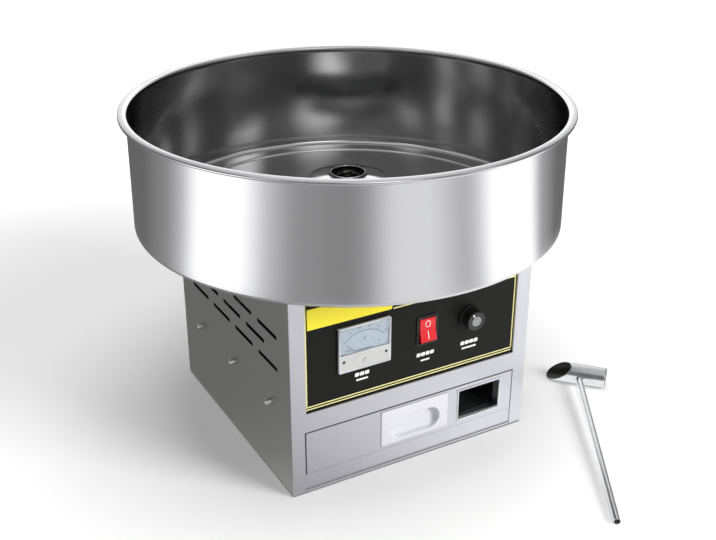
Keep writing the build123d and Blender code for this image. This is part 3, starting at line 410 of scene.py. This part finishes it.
def printed(name, draw, material, body):
    """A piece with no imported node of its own, made by one drawing function."""
    bm = bmesh.new()
    draw(bm)
    piece(name, from_bmesh(name, bm), material, body)


# ---------------------------------------------------------------- bowl
low, rim = 259.0, 397.5
sheet = 1.0
foot, top_radius, top_height = 251.9, 250.9, 390.4
edge_out = 260.0
corner = 5.5
hole, lip_top = 62.0, 265.0
ring_radius = 221.0
bowl_segments = 288


def wall(z):
    """The wall's outer radius: it stands nearly upright, a touch closer at the top."""
    return foot + (top_radius - foot) * (z - low) / (top_height - low)


def bowl_profile():
    """Closed section: up the outside, round the turned-out rim, down the inside to the hole."""
    outside = [(hole, low)] + arc(foot - corner, low + corner, corner, -90, 0, 14)
    outside += [(wall(z), z) for z in (290, 315, 340, 365, 385)]
    # The rim turns out into a flat roll that stands 9 mm out of the wall and is 5 mm high.
    under = arc(top_radius + 2.2, top_height, 2.2, 180, 95, 8)
    under += [(edge_out - 3.6, top_height + 2.4)]
    roll = arc(edge_out - 2.3, rim - 2.9, 2.3, -100, 60, 16)
    roll += arc(edge_out - 6.4, rim - 4.6, 4.6, 78, 155, 10)
    inside = [(wall(z) - sheet, z) for z in (389, 365, 340, 315, 290)]
    inside += arc(foot - corner, low + corner, corner - sheet, 0, -90, 14)
    floor = low + sheet
    ring = [(ring_radius + 2.6 * cos(radians(a)), floor + 1.8 * sin(radians(a)))
            for a in range(0, 181, 20)]
    lip = [(hole + 2.2, floor)] + arc(hole + 2.2, floor + 1.2, 1.2, -90, -180, 5)
    lip += [(hole + 1.0, lip_top - 0.4), (hole + 0.8, lip_top), (hole + 0.2, lip_top),
            (hole, lip_top - 0.4)]
    return outside + under + roll + inside + ring + lip


bowl_shell = piece("bowl_shell", lathe("bowl_shell", bowl_profile(), bowl_segments, 40),
                   spun_steel, "pan", ("bowl", "bowl_floor"))
bowl_shell.data.materials.append(buffed_steel)
# The buffed finish: faces that look inward below the rim, and upward on the floor.
inside_top, floor_top = 391.5 * MM, 300 * MM
for polygon in bowl_shell.data.polygons:
    middle = polygon.center
    inward = middle.x * polygon.normal.x + middle.y * polygon.normal.y < 0
    upward = polygon.normal.z > 0.3
    if (inward and middle.z < inside_top) or (upward and middle.z < floor_top):
        polygon.material_index = 1

for name in ("head_cover", "head_base", "bowl_collar", "knob", "shelf_nuts",
             "cable_gland", "drawer_handle", "switch_housing", "hub_nut", "zero_adjuster",
             "meter_case", "drawer_window_trim"):
    smooth_copy(name)
sheet_edge = 0.4
for name in ("front_frame", "drawer_front", "bottom_rail"):
    smooth_copy(name, eased=sheet_edge)


# ---------------------------------------------------------------- panel graphics
panel_y, print_y = -155.0, -155.12
border_out, border_in = 138.2, 136.6
border_top = 239.8


def draw_band(bm):
    """Yellow field in the panel's upper left corner, with a slanted right end."""
    prism(bm, [(-135, 206.2), (-31, 206.2), (-24, 231), (-135, 231)], print_y, panel_y)


def draw_pale_lines(bm):
    """A border down both sides, two lines along the bottom and one beside the yellow field."""
    prism(bm, [(-29, 205.6), (136.4, 205.6), (136.4, 207.3), (-28.5, 207.3)],
          print_y, panel_y)
    for x0, x1, z0, z1 in ((-border_out, -border_in, 112.6, border_top),
                           (border_in, border_out, 112.6, border_top),
                           (-border_out, border_out, 110.6, 112.0),
                           (-border_out, border_out, 107.4, 108.8)):
        prism(bm, [(x0, z0), (x1, z0), (x1, z1), (x0, z1)], print_y, panel_y)


def draw_captions(bm):
    """Plain bars where the machine has its captions: a row of marks and an underline."""
    for x, z, marks, span, line_z, line in ((-68.0, 135.0, 3, 19.0, 128.0, 15.0),
                                            (15.0, 137.0, 4, 24.0, 129.0, 12.0),
                                            (75.5, 136.0, 4, 24.6, 129.0, 20.0)):
        step = span / marks
        for i in range(marks):
            bar(bm, x + (i - (marks - 1) / 2) * step, z, step * 0.86, 4.6, print_y, panel_y,
                1.1, 0.12)
        bar(bm, x, line_z, line, 2.1, print_y, panel_y, 0.7, 0.1)


printed("yellow_band", draw_band, yellow_ink, "cabinet")
printed("pale_lines", draw_pale_lines, pale_ink, "cabinet")
printed("captions", draw_captions, white_ink, "cabinet")

# ---------------------------------------------------------------- meter
meter_x, pivot_z = -66.3, 155.0
dial_y, dial_print = -156.6, -156.66
apron_y = -159.0
scale_radius, number_radius = 35.6, 40.0
scale_start, scale_end, scale_steps = 134.0, 46.0, 10


def scale_angle(step):
    """The direction of one of the scale's steps, from the needle's pivot."""
    return radians(scale_start + (scale_end - scale_start) * step / scale_steps)


def draw_tick(bm, a, outer, half_wide):
    """A tick across the arc, from just inside it."""
    inner = scale_radius - 0.4
    across = (-sin(a) * half_wide, cos(a) * half_wide)
    corners = ((inner, 1), (inner, -1), (outer, -1), (outer, 1))
    prism(bm, [(meter_x + r * cos(a) + side * across[0], pivot_z + r * sin(a) + side * across[1])
               for r, side in corners], dial_print, dial_y)


def draw_scale(bm):
    """The arc, a tick at each step, a number at every second one, and small print as bars."""
    band_arc(bm, meter_x, pivot_z, scale_radius, scale_radius, 0.7, dial_print, dial_y,
             scale_end, scale_start, 40)
    for step in range(scale_steps + 1):
        if step % 2 == 0:
            draw_tick(bm, scale_angle(step), scale_radius + 2.0, 0.22)
        else:
            draw_tick(bm, scale_angle(step), scale_radius + 1.0, 0.14)
    for i, number in enumerate(("0", "50", "100", "150", "200", "250")):
        a = scale_angle(2 * i)
        words(bm, number, meter_x + number_radius * cos(a), pivot_z + number_radius * sin(a),
              2.3, dial_print, dial_y)
    for x, z, width, height in ((-86.0, 169.6, 11, 0.5), (-86.0, 168.4, 8, 0.4),
                                (-47.5, 173.5, 3, 0.5), (-48.0, 171.8, 2.4, 0.4)):
        prism(bm, [(x - width / 2, z), (x + width / 2, z), (x + width / 2, z + height),
                   (x - width / 2, z + height)], dial_print, dial_y)


def draw_unit(bm):
    """The unit under the arc, and the bar below it."""
    words(bm, "V", meter_x, 180.0, 4.2, dial_print, dial_y)
    bar(bm, meter_x, 167.3, 21.0, 0.9, dial_print, dial_y, 0.2)


printed("dial_scale", draw_scale, grey_ink, "cabinet")
printed("dial_unit", draw_unit, black_ink, "cabinet")


def dome(bm, x, y, z, radius, height):
    """A screw's pan head, facing the front."""
    rings = []
    for share_r, share_y in ((1.0, 0.0), (1.0, 0.35), (0.9, 0.7), (0.66, 0.93), (0.3, 1.0)):
        rings.append(put(bm, [(x + radius * share_r * cos(a), y - height * share_y,
                               z + radius * share_r * sin(a))
                              for a in (2 * pi * i / 24 for i in range(24))]))
    skin(bm, rings, closed=False)
    bm.faces.new(rings[0])
    bm.faces.new(rings[-1][::-1])


def draw_apron_screws(bm):
    """One screw near each end of the apron."""
    apart, z = 26.7, 157.8
    for side in (-1, 1):
        dome(bm, meter_x + side * apart, apron_y, z, 1.7, 0.7)


printed("apron_screws", draw_apron_screws, black_plastic, "cabinet")


def draw_apron_highlight(bm):
    """The apron's polished upper edge, drawn as a thin white strip: a painted highlight."""
    left, right, bottom, top = -97.5, -35.1, 165.2, 165.8
    prism(bm, [(left, bottom), (right, bottom), (right, top), (left, top)],
          apron_y - 0.06, apron_y)


# A white strip along the apron's top stands in for its glint: painted highlight.
printed("apron_painted_highlight", draw_apron_highlight, white_plastic, "cabinet")

# ---------------------------------------------------------------- switch
switch_x, switch_z, pivot_y = 16.0, 168.1, -153.0


def draw_rocker(bm):
    """V-shaped rocker with its long edges eased, at rest with the upper half pressed."""
    half, tilt = 14.3, radians(8)
    rise = half * tan(tilt)
    face = 4.5
    profile = [(-face, 0.0)] + [(-face - rise * s, half * s) for s in (0.5, 0.88)]
    profile += [(-face - rise + 0.25, half - 0.7), (-face - rise + 0.9, half - 0.15),
                (-face - rise + 1.8, half)]
    profile += [(0, half - 0.8), (3.0, half - 5), (5.0, 0), (3.0, 5 - half), (0, 0.8 - half)]
    profile += [(-face - rise + 1.8, -half), (-face - rise + 0.9, 0.15 - half),
                (-face - rise + 0.25, 0.7 - half)]
    profile += [(-face - rise * s, -half * s) for s in (0.88, 0.5)]
    rings = []
    for x, shrink in ((-10.5, 0.5), (-10.35, 0.2), (-10.0, 0.0), (10.0, 0.0), (10.35, 0.2),
                      (10.5, 0.5)):
        ring = []
        for y, z in profile:
            keep_y = y + shrink if y < -face + 0.01 else y
            keep_z = z - copysign(min(shrink, abs(z)), z) if abs(z) > half - 1 else z
            ring.append((switch_x + x, pivot_y + keep_y * cos(tilt) + keep_z * sin(tilt),
                         switch_z - keep_y * sin(tilt) + keep_z * cos(tilt)))
        rings.append(put(bm, ring))
    skin(bm, rings, closed=False)
    bm.faces.new(rings[0])
    bm.faces.new(rings[-1][::-1])
    for side in (-1, 1):
        ends = [put(bm, [(switch_x + side * x, pivot_y + 1.5 * cos(a), switch_z + 1.5 * sin(a))
                         for a in (2 * pi * i / 24 for i in range(24))]) for x in (10.4, 12.4)]
        skin(bm, ends, closed=False)
        bm.faces.new(ends[0])
        bm.faces.new(ends[1][::-1])


bm = bmesh.new()
draw_rocker(bm)
piece("rocker_cap", evenly_lit(from_bmesh("rocker_cap", bm, 50)), red_plastic, "rocker",
      ("switch_rocker",))


def draw_rocker_marks(bm):
    """A ring on the upright upper half and a bar on the leaning lower half."""
    face, fold_z = -157.456, 168.73
    band_arc(bm, switch_x, 176.4, 3.6, 4.4, 1.0, face - 0.07, face, 0, 360, 40)
    slope = (161.437 - 157.456) / (fold_z - 154.85)
    half_wide, bar_bottom, bar_top = 0.6, 158.2, 167.6
    rings = []
    for z in (bar_bottom, bar_top):
        y = face - (fold_z - z) * slope
        rings.append(put(bm, [(switch_x + x, y - depth, z) for x, depth in
                              ((-half_wide, 0.09), (half_wide, 0.09), (half_wide, -0.02),
                               (-half_wide, -0.02))]))
    skin(bm, rings, closed=False)
    bm.faces.new(rings[0])
    bm.faces.new(rings[1][::-1])


printed("rocker_marks", draw_rocker_marks, rose_ink, "rocker")

# ---------------------------------------------------------------- knob
knob_x, knob_z, knob_face = 73.0, 171.0, -171.5


def draw_knob_cap(bm):
    """Turned metal insert with a groove round its middle."""
    top = knob_face - 0.5
    groove = top + 0.3
    profile = [(6.3, knob_face + 1.0), (6.3, top + 0.35), (6.0, top), (4.1, top),
               (3.9, groove), (3.3, groove), (3.1, top), (0.6, top), (0.3, top + 0.1)]
    rings = [put(bm, [(knob_x + r * cos(a), y, knob_z + r * sin(a))
                      for a in (2 * pi * i / 48 for i in range(48))]) for r, y in profile]
    skin(bm, rings, closed=False)
    bm.faces.new(rings[0])
    bm.faces.new(rings[-1][::-1])


bm = bmesh.new()
draw_knob_cap(bm)
piece("knob_insert", from_bmesh("knob_insert", bm, 25), insert_metal, "regulator_knob",
      ("knob_cap",))


def draw_pointer(bm):
    """White pointer from the insert to the knob's edge, upper left at rest."""
    a = radians(118)
    along, across = Vector((cos(a), sin(a))), Vector((-sin(a), cos(a)))
    corners = [Vector((knob_x, knob_z)) + along * r + across * w
               for r, w in ((6.9, 0.75), (6.9, -0.75), (10.6, -0.75), (10.6, 0.75))]
    prism(bm, [tuple(c) for c in corners], knob_face - 0.08, knob_face)


printed("knob_pointer", draw_pointer, white_ink, "regulator_knob")


# ---------------------------------------------------------------- scoop
head_radius, stem_radius = 13.2, 4.0
tube_wall = 0.8
stem_length = 280.0
stem_heading, head_heading = radians(58.7), radians(132.8)


def scoop_places():
    """Foot, stem's direction, head's axis, side direction and head's middle, as packed."""
    rise = head_radius - stem_radius
    run = sqrt(stem_length ** 2 - rise ** 2)
    foot_point = Vector((128.5, -371.4, stem_radius))
    along = Vector((run * cos(stem_heading), run * sin(stem_heading), rise)) / stem_length
    seam = foot_point + along * stem_length
    axis = Vector((cos(head_heading), sin(head_heading), 0))
    side = (along - axis * along.dot(axis)).normalized()
    middle = seam + side * head_radius
    return foot_point, along, axis, side, Vector((middle.x, middle.y, head_radius))


def draw_scoop_head(bm):
    """Tube with a closed, rounded back and a slanted mouth with an eased lip."""
    _, _, axis, side, middle = scoop_places()
    # The slanted mouth looks upward, leaning 25 degrees towards the stem.
    turn = radians(25)
    open_side = (Vector((0, 0, 1)) * cos(turn) - side * sin(turn)).normalized()
    other = axis.cross(open_side)
    radius, length, cut = head_radius, 79.0, 34.0
    behind_stem = 33.0
    back = middle - axis * behind_stem
    bore = radius - tube_wall
    count = 96

    def lip(r, a):
        """How far along the axis the slanted mouth lies."""
        return length - cut / (2 * radius) * (r * cos(a) + radius)

    def ring(r, depth):
        points = []
        for i in range(count):
            a = 2 * pi * i / count
            d = depth(r, a) if callable(depth) else depth
            points.append(back + open_side * r * cos(a) + other * r * sin(a) + axis * d)
        return put(bm, points)

    rings = [ring(r, d) for r, d in ((0.02, 0.0), (6, 0.0), (radius - 1.0, 0.0),
                                     (radius - 0.4, 0.25), (radius - 0.1, 0.7), (radius, 1.4))]
    rings += [ring(radius, lambda r, a, s=s: 1.4 + (lip(r, a) - 1.7) * s)
              for s in (0.02, 0.25, 0.5, 0.75, 0.98, 1.0)]
    rings += [ring(radius - 0.25, lip), ring(bore + 0.25, lip),
              ring(bore, lambda r, a: lip(r, a) - 0.3)]
    rings += [ring(bore, lambda r, a, s=s: 1.4 + (lip(r, a) - 1.7) * s)
              for s in (0.98, 0.75, 0.5, 0.25, 0.02)]
    rings += [ring(r, d) for r, d in ((bore, 1.2), (bore - 0.4, tube_wall), (6, tube_wall),
                                      (0.02, tube_wall))]
    skin(bm, rings, closed=False)
    bm.faces.new(rings[0])
    bm.faces.new(rings[-1][::-1])


def draw_scoop_handle(bm):
    """Open-ended tube, its far end shaped to the head's side."""
    foot_point, along, axis, _, middle = scoop_places()
    up = along.cross(axis).normalized()
    out = up.cross(along).normalized()
    count = 48

    def reach(offset):
        """How far a line of the tube runs before it meets the head."""
        start = foot_point + offset - middle
        start -= axis * start.dot(axis)
        run = along - axis * along.dot(axis)
        a, b = run.dot(run), 2 * start.dot(run)
        c = start.dot(start) - (head_radius + 0.1) ** 2
        return (-b - sqrt(max(b * b - 4 * a * c, 0))) / (2 * a)

    def ring(r, share, shift=0.0):
        points = []
        for i in range(count):
            a = 2 * pi * i / count
            offset = up * r * cos(a) + out * r * sin(a)
            points.append(foot_point + offset + along * (reach(offset) * share + shift))
        return put(bm, points)

    bore = stem_radius - tube_wall
    stops = ((0, 0.25), (0, 2.0), (0.1, 0), (0.35, 0), (0.65, 0), (0.9, 0), (1, 0))
    outside = [ring(stem_radius, share, shift) for share, shift in stops]
    inside = [ring(bore, share, shift) for share, shift in reversed(stops)]
    edge = [ring(bore + 0.22, 0), ring(stem_radius - 0.22, 0)]
    skin(bm, outside + inside + edge)


def bore_of(mesh, start, axis, radius):
    """Gives the faces inside a tube, nearer its axis than a radius in mm, the bore's dull finish
    with its painted shade.
    """
    for polygon in mesh.polygons:
        arm = polygon.center / MM - start
        arm -= axis * arm.dot(axis)
        polygon.material_index = int(arm.length < radius)


def make_scoop():
    """Both tubes, bright outside; dull inside, and dark there with painted shade."""
    foot_point, along, axis, _, middle = scoop_places()
    for name, draw, replaced, start, way, radius in (
            ("scoop_cup", draw_scoop_head, "scoop_head", middle, axis, head_radius - 0.5),
            ("scoop_stem", draw_scoop_handle, "scoop_handle", foot_point, along,
             stem_radius - 0.5)):
        bm = bmesh.new()
        draw(bm)
        tube = piece(name, from_bmesh(name, bm, 40), scoop_steel, "scoop",
                     (replaced,))
        # The bore's dark grey is painted shade inside the tube.
        tube.data.materials.append(painted_shade_bore)
        bore_of(tube.data, start, way, radius)


make_scoop()


# ---------------------------------------------------------------- back panel screws
def draw_back_screws(bm):
    """Pan heads round the back panel, where it meets its flanges."""
    back_y = 158.0
    for x in (-150.0, 0.0, 150.0):
        for z in (12.0, 128.0, 246.0):
            if (x, z) != (0.0, 128.0):
                dome(bm, x, 0.0, z, 2.6, 1.3)
    for vert in bm.verts:
        vert.co.y = back_y * MM - vert.co.y


printed("back_screws", draw_back_screws, nickel, "cabinet")


# ---------------------------------------------------------------- stage
def plain_material(name, build):
    """A material for the studio: one shader, made by a function, and no principled one."""
    material = bpy.data.materials.new(name)
    material.use_nodes = True
    tree = material.node_tree
    tree.nodes.clear()
    out = add_node(tree, "ShaderNodeOutputMaterial")
    tree.links.new(build(tree), out.inputs["Surface"])
    return material


def seen_directly(tree):
    """1 for rays from the camera, and those reflected by or passed through the object."""
    path = add_node(tree, "ShaderNodeLightPath")
    either = add_node(tree, "ShaderNodeMath", {"operation": "MAXIMUM"},
                      _0=path.outputs["Is Camera Ray"], _1=path.outputs["Is Glossy Ray"])
    return add_node(tree, "ShaderNodeMath", {"operation": "MAXIMUM"}, _0=either.outputs[0],
                    _1=path.outputs["Is Transmission Ray"]).outputs[0]


def floor_shader(tree):
    """White to the eye, with the object's shadow, and plain pale grey as a source of light."""
    paint = add_node(tree, "ShaderNodeBsdfDiffuse", Color=linear("#e6e6e6"))
    place = add_node(tree, "ShaderNodeTexCoord").outputs["Object"]
    distance = add_node(tree, "ShaderNodeVectorMath", {"operation": "LENGTH"}, _0=place)
    paler = add_node(tree, "ShaderNodeMapRange", {"interpolation_type": "SMOOTHSTEP"},
                     Value=distance.outputs["Value"], From_Min=0.5, From_Max=1.5,
                     To_Min=0.2, To_Max=1.0).outputs["Result"]
    strength = add_node(tree, "ShaderNodeMath", {"operation": "MULTIPLY"}, _0=paler,
                        _1=seen_directly(tree)).outputs[0]
    glow = add_node(tree, "ShaderNodeEmission", Color=linear("#ffffff"), Strength=strength)
    return add_node(tree, "ShaderNodeAddShader", _0=paint.outputs[0], _1=glow.outputs[0]
                    ).outputs[0]


def lay_floor(width, drop):
    """A plain square floor, a hair's breadth below the object."""
    bm = bmesh.new()
    bmesh.ops.create_grid(bm, x_segments=1, y_segments=1, size=width / 2)
    mesh = bpy.data.meshes.new("floor")
    bm.to_mesh(mesh)
    bm.free()
    mesh.materials.append(plain_material("pale_floor", floor_shader))
    obj = bpy.data.objects.new("floor", mesh)
    obj.location.z = -drop
    scene.collection.objects.link(obj)


lay_floor(30.0, 0.2 * MM)

# Solved from the photograph: the place in metres, the angles in radians.
camera_place = Vector((-0.576106, -1.047213, 0.756991))
yaw, pitch, roll = 0.513, 0.449, 0.002
toward_camera = atan2(camera_place.y, camera_place.x)
# The studio, in metres: its radius, the height of the floor cards, the foot of its walls.
room_radius, card_height, skirting = 2.6, 0.003, 0.3


def levels_round(tree, around, bands):
    """A grey level by direction, from (degrees, level) pairs."""
    ramp = add_node(tree, "ShaderNodeValToRGB", Fac=around)
    elements = ramp.color_ramp.elements
    elements.remove(elements[1])
    elements[0].position = 0.0
    elements[0].color = (bands[0][1],) * 3 + (1,)
    for angle, level in bands[1:]:
        element = elements.new((angle + 180) / 360)
        element.color = (level,) * 3 + (1,)
    return ramp.outputs["Color"]


def studio_wall(tree):
    """Soft boxes and grey cards on the floor: one ring far out, seen in the bowl, and one near
    by, seen in the cabinet's sides."""
    place = add_node(tree, "ShaderNodeTexCoord").outputs["Object"]
    parts = add_node(tree, "ShaderNodeSeparateXYZ", Vector=place)
    around = add_node(tree, "ShaderNodeMath", {"operation": "ARCTAN2"},
                      _0=parts.outputs[1], _1=parts.outputs[0])
    share = add_node(tree, "ShaderNodeMapRange", Value=around.outputs[0], From_Min=-pi,
                     From_Max=pi, To_Min=0.0, To_Max=1.0).outputs["Result"]
    distance = add_node(tree, "ShaderNodeVectorMath", {"operation": "LENGTH"}, _0=place)
    outward = add_node(tree, "ShaderNodeMapRange", {"interpolation_type": "SMOOTHSTEP"},
                       Value=distance.outputs["Value"], From_Min=0.5, From_Max=0.75)
    far = levels_round(tree, share, (
        (-180, 0.10), (-115, 0.20), (-92, 0.42), (-82, 0.80), (-72, 1.9), (-48, 1.9),
        (-36, 0.90), (-24, 0.48), (0, 0.37), (8, 0.50), (19, 1.15), (36, 1.20),
        (53, 0.70), (60, 0.95), (68, 1.9), (95, 1.9), (103, 0.55), (122, 0.20), (180, 0.10)))
    near = levels_round(tree, share, (
        (-180, 0.27), (-110, 0.29), (-80, 0.30), (-40, 0.40), (0, 0.75), (30, 1.1),
        (60, 1.4), (100, 1.5), (140, 0.6), (180, 0.27)))
    level = add_node(tree, "ShaderNodeMix", {"data_type": "RGBA"}, _0=outward.outputs["Result"],
                     _6=near, _7=far)
    return add_node(tree, "ShaderNodeEmission", Color=level.outputs[2], Strength=1.0
                    ).outputs[0]


def ring_wall(name, profile, material):
    """An open surface of revolution round the object, seen only in reflections."""
    segments = 96
    bm = bmesh.new()
    rings = []
    for i in range(segments):
        a = 2 * pi * i / segments
        rings.append([bm.verts.new((r * cos(a), r * sin(a), z)) for r, z in profile])
    for i in range(segments):
        here, there = rings[i], rings[(i + 1) % segments]
        for j in range(len(profile) - 1):
            bm.faces.new((here[j], there[j], there[j + 1], here[j + 1]))
    mesh = bpy.data.meshes.new(name)
    bm.to_mesh(mesh)
    bm.free()
    obj = bpy.data.objects.new(name, mesh)
    obj.rotation_euler.z = toward_camera
    scene.collection.objects.link(obj)
    obj.data.materials.append(material)
    obj.visible_camera = obj.visible_diffuse = obj.visible_shadow = False
    obj.visible_transmission = obj.visible_volume_scatter = False


def studio_upper(tree):
    """Dim walls and a paler ceiling, with soft lamps on the walls."""
    place = add_node(tree, "ShaderNodeTexCoord").outputs["Object"]
    level = None
    # Each lamp: degrees round from the camera's side, height in metres, size and level.
    for turn, height, size, strength in ((19, 2.1, 0.9, 2.6), (66, 1.4, 0.6, 1.7),
                                         (180, 1.3, 1.9, 1.4), (-40, 1.9, 0.5, 1.6)):
        a = radians(turn)
        gap = add_node(tree, "ShaderNodeVectorMath", {"operation": "DISTANCE"}, _0=place,
                       _1=(room_radius * cos(a), room_radius * sin(a), height))
        glow = add_node(tree, "ShaderNodeMapRange", {"interpolation_type": "SMOOTHSTEP"},
                        Value=gap.outputs["Value"], From_Min=size * 0.25, From_Max=size * 1.25,
                        To_Min=strength, To_Max=0.0).outputs["Result"]
        level = glow if level is None else add_node(
            tree, "ShaderNodeMath", {"operation": "ADD"}, _0=level, _1=glow).outputs[0]
    level = add_node(tree, "ShaderNodeMath", {"operation": "ADD"}, _0=level, _1=0.26).outputs[0]
    height = add_node(tree, "ShaderNodeSeparateXYZ", Vector=place).outputs[2]
    ceiling = add_node(tree, "ShaderNodeMapRange", {"interpolation_type": "SMOOTHSTEP"},
                       Value=height, From_Min=2.2, From_Max=2.75, To_Min=0.0, To_Max=0.55)
    level = add_node(tree, "ShaderNodeMath", {"operation": "ADD"}, _0=level,
                     _1=ceiling.outputs["Result"]).outputs[0]
    return add_node(tree, "ShaderNodeEmission", Color=linear("#ffffff"), Strength=level
                    ).outputs[0]


floor_cards = plain_material("studio_cards", studio_wall)
upper_walls = plain_material("studio_upper", studio_upper)
ring_wall("studio_floor", [(0.01, card_height), (0.5, card_height), (2.2, card_height),
                           (room_radius, skirting)], floor_cards)
ring_wall("studio_top", [(room_radius, skirting), (room_radius, 2.0), (2.0, 2.5), (1.0, 2.8),
                         (0.01, 2.85)], upper_walls)


def area_light(name, place, size, power):
    """A square soft box aimed at the object, unseen in its metal."""
    data = bpy.data.lights.new(name, "AREA")
    data.shape = "RECTANGLE"
    data.size = data.size_y = size
    data.energy = power
    obj = bpy.data.objects.new(name, data)
    obj.location = place
    aim = Vector((0, 0, 0.2)) - Vector(place)
    obj.rotation_euler = aim.to_track_quat("-Z", "Y").to_euler()
    scene.collection.objects.link(obj)
    obj.visible_glossy = False


area_light("key_soft_box", (1.3, -2.2, 1.3), 1.1, 70)
area_light("fill_soft_box", (-1.6, -1.2, 1.6), 1.4, 4)
area_light("top_soft_box", (0.0, 0.0, 2.4), 1.3, 36)

world = bpy.data.worlds.new("white_room")
scene.world = world
world.use_nodes = True
tree = world.node_tree
tree.nodes.clear()
# White where it is seen, and dim as a source of light.
room = add_node(tree, "ShaderNodeBackground", Color=linear("#ffffff"),
                Strength=spread(tree, seen_directly(tree), 0.15, 1.0))
tree.links.new(room.outputs[0], add_node(tree, "ShaderNodeOutputWorld").inputs["Surface"])

# ---------------------------------------------------------------- camera
forward = Vector((sin(yaw) * cos(pitch), cos(yaw) * cos(pitch), -sin(pitch)))
right = forward.cross(Vector((0, 0, 1))).normalized()
up = right.cross(forward)
right, up = (right * cos(roll) + up * sin(roll), up * cos(roll) - right * sin(roll))
lens_data = bpy.data.cameras.new("camera")
lens_data.sensor_width = 36.0
lens_data.lens = 54.10
lens_data.clip_start, lens_data.clip_end = 0.05, 60
camera = bpy.data.objects.new("camera", lens_data)
camera.matrix_world = Matrix((
    (right.x, up.x, -forward.x, camera_place.x),
    (right.y, up.y, -forward.y, camera_place.y),
    (right.z, up.z, -forward.z, camera_place.z),
    (0, 0, 0, 1)))
scene.collection.objects.link(camera)
scene.camera = camera
scene.view_settings.view_transform = "Standard"
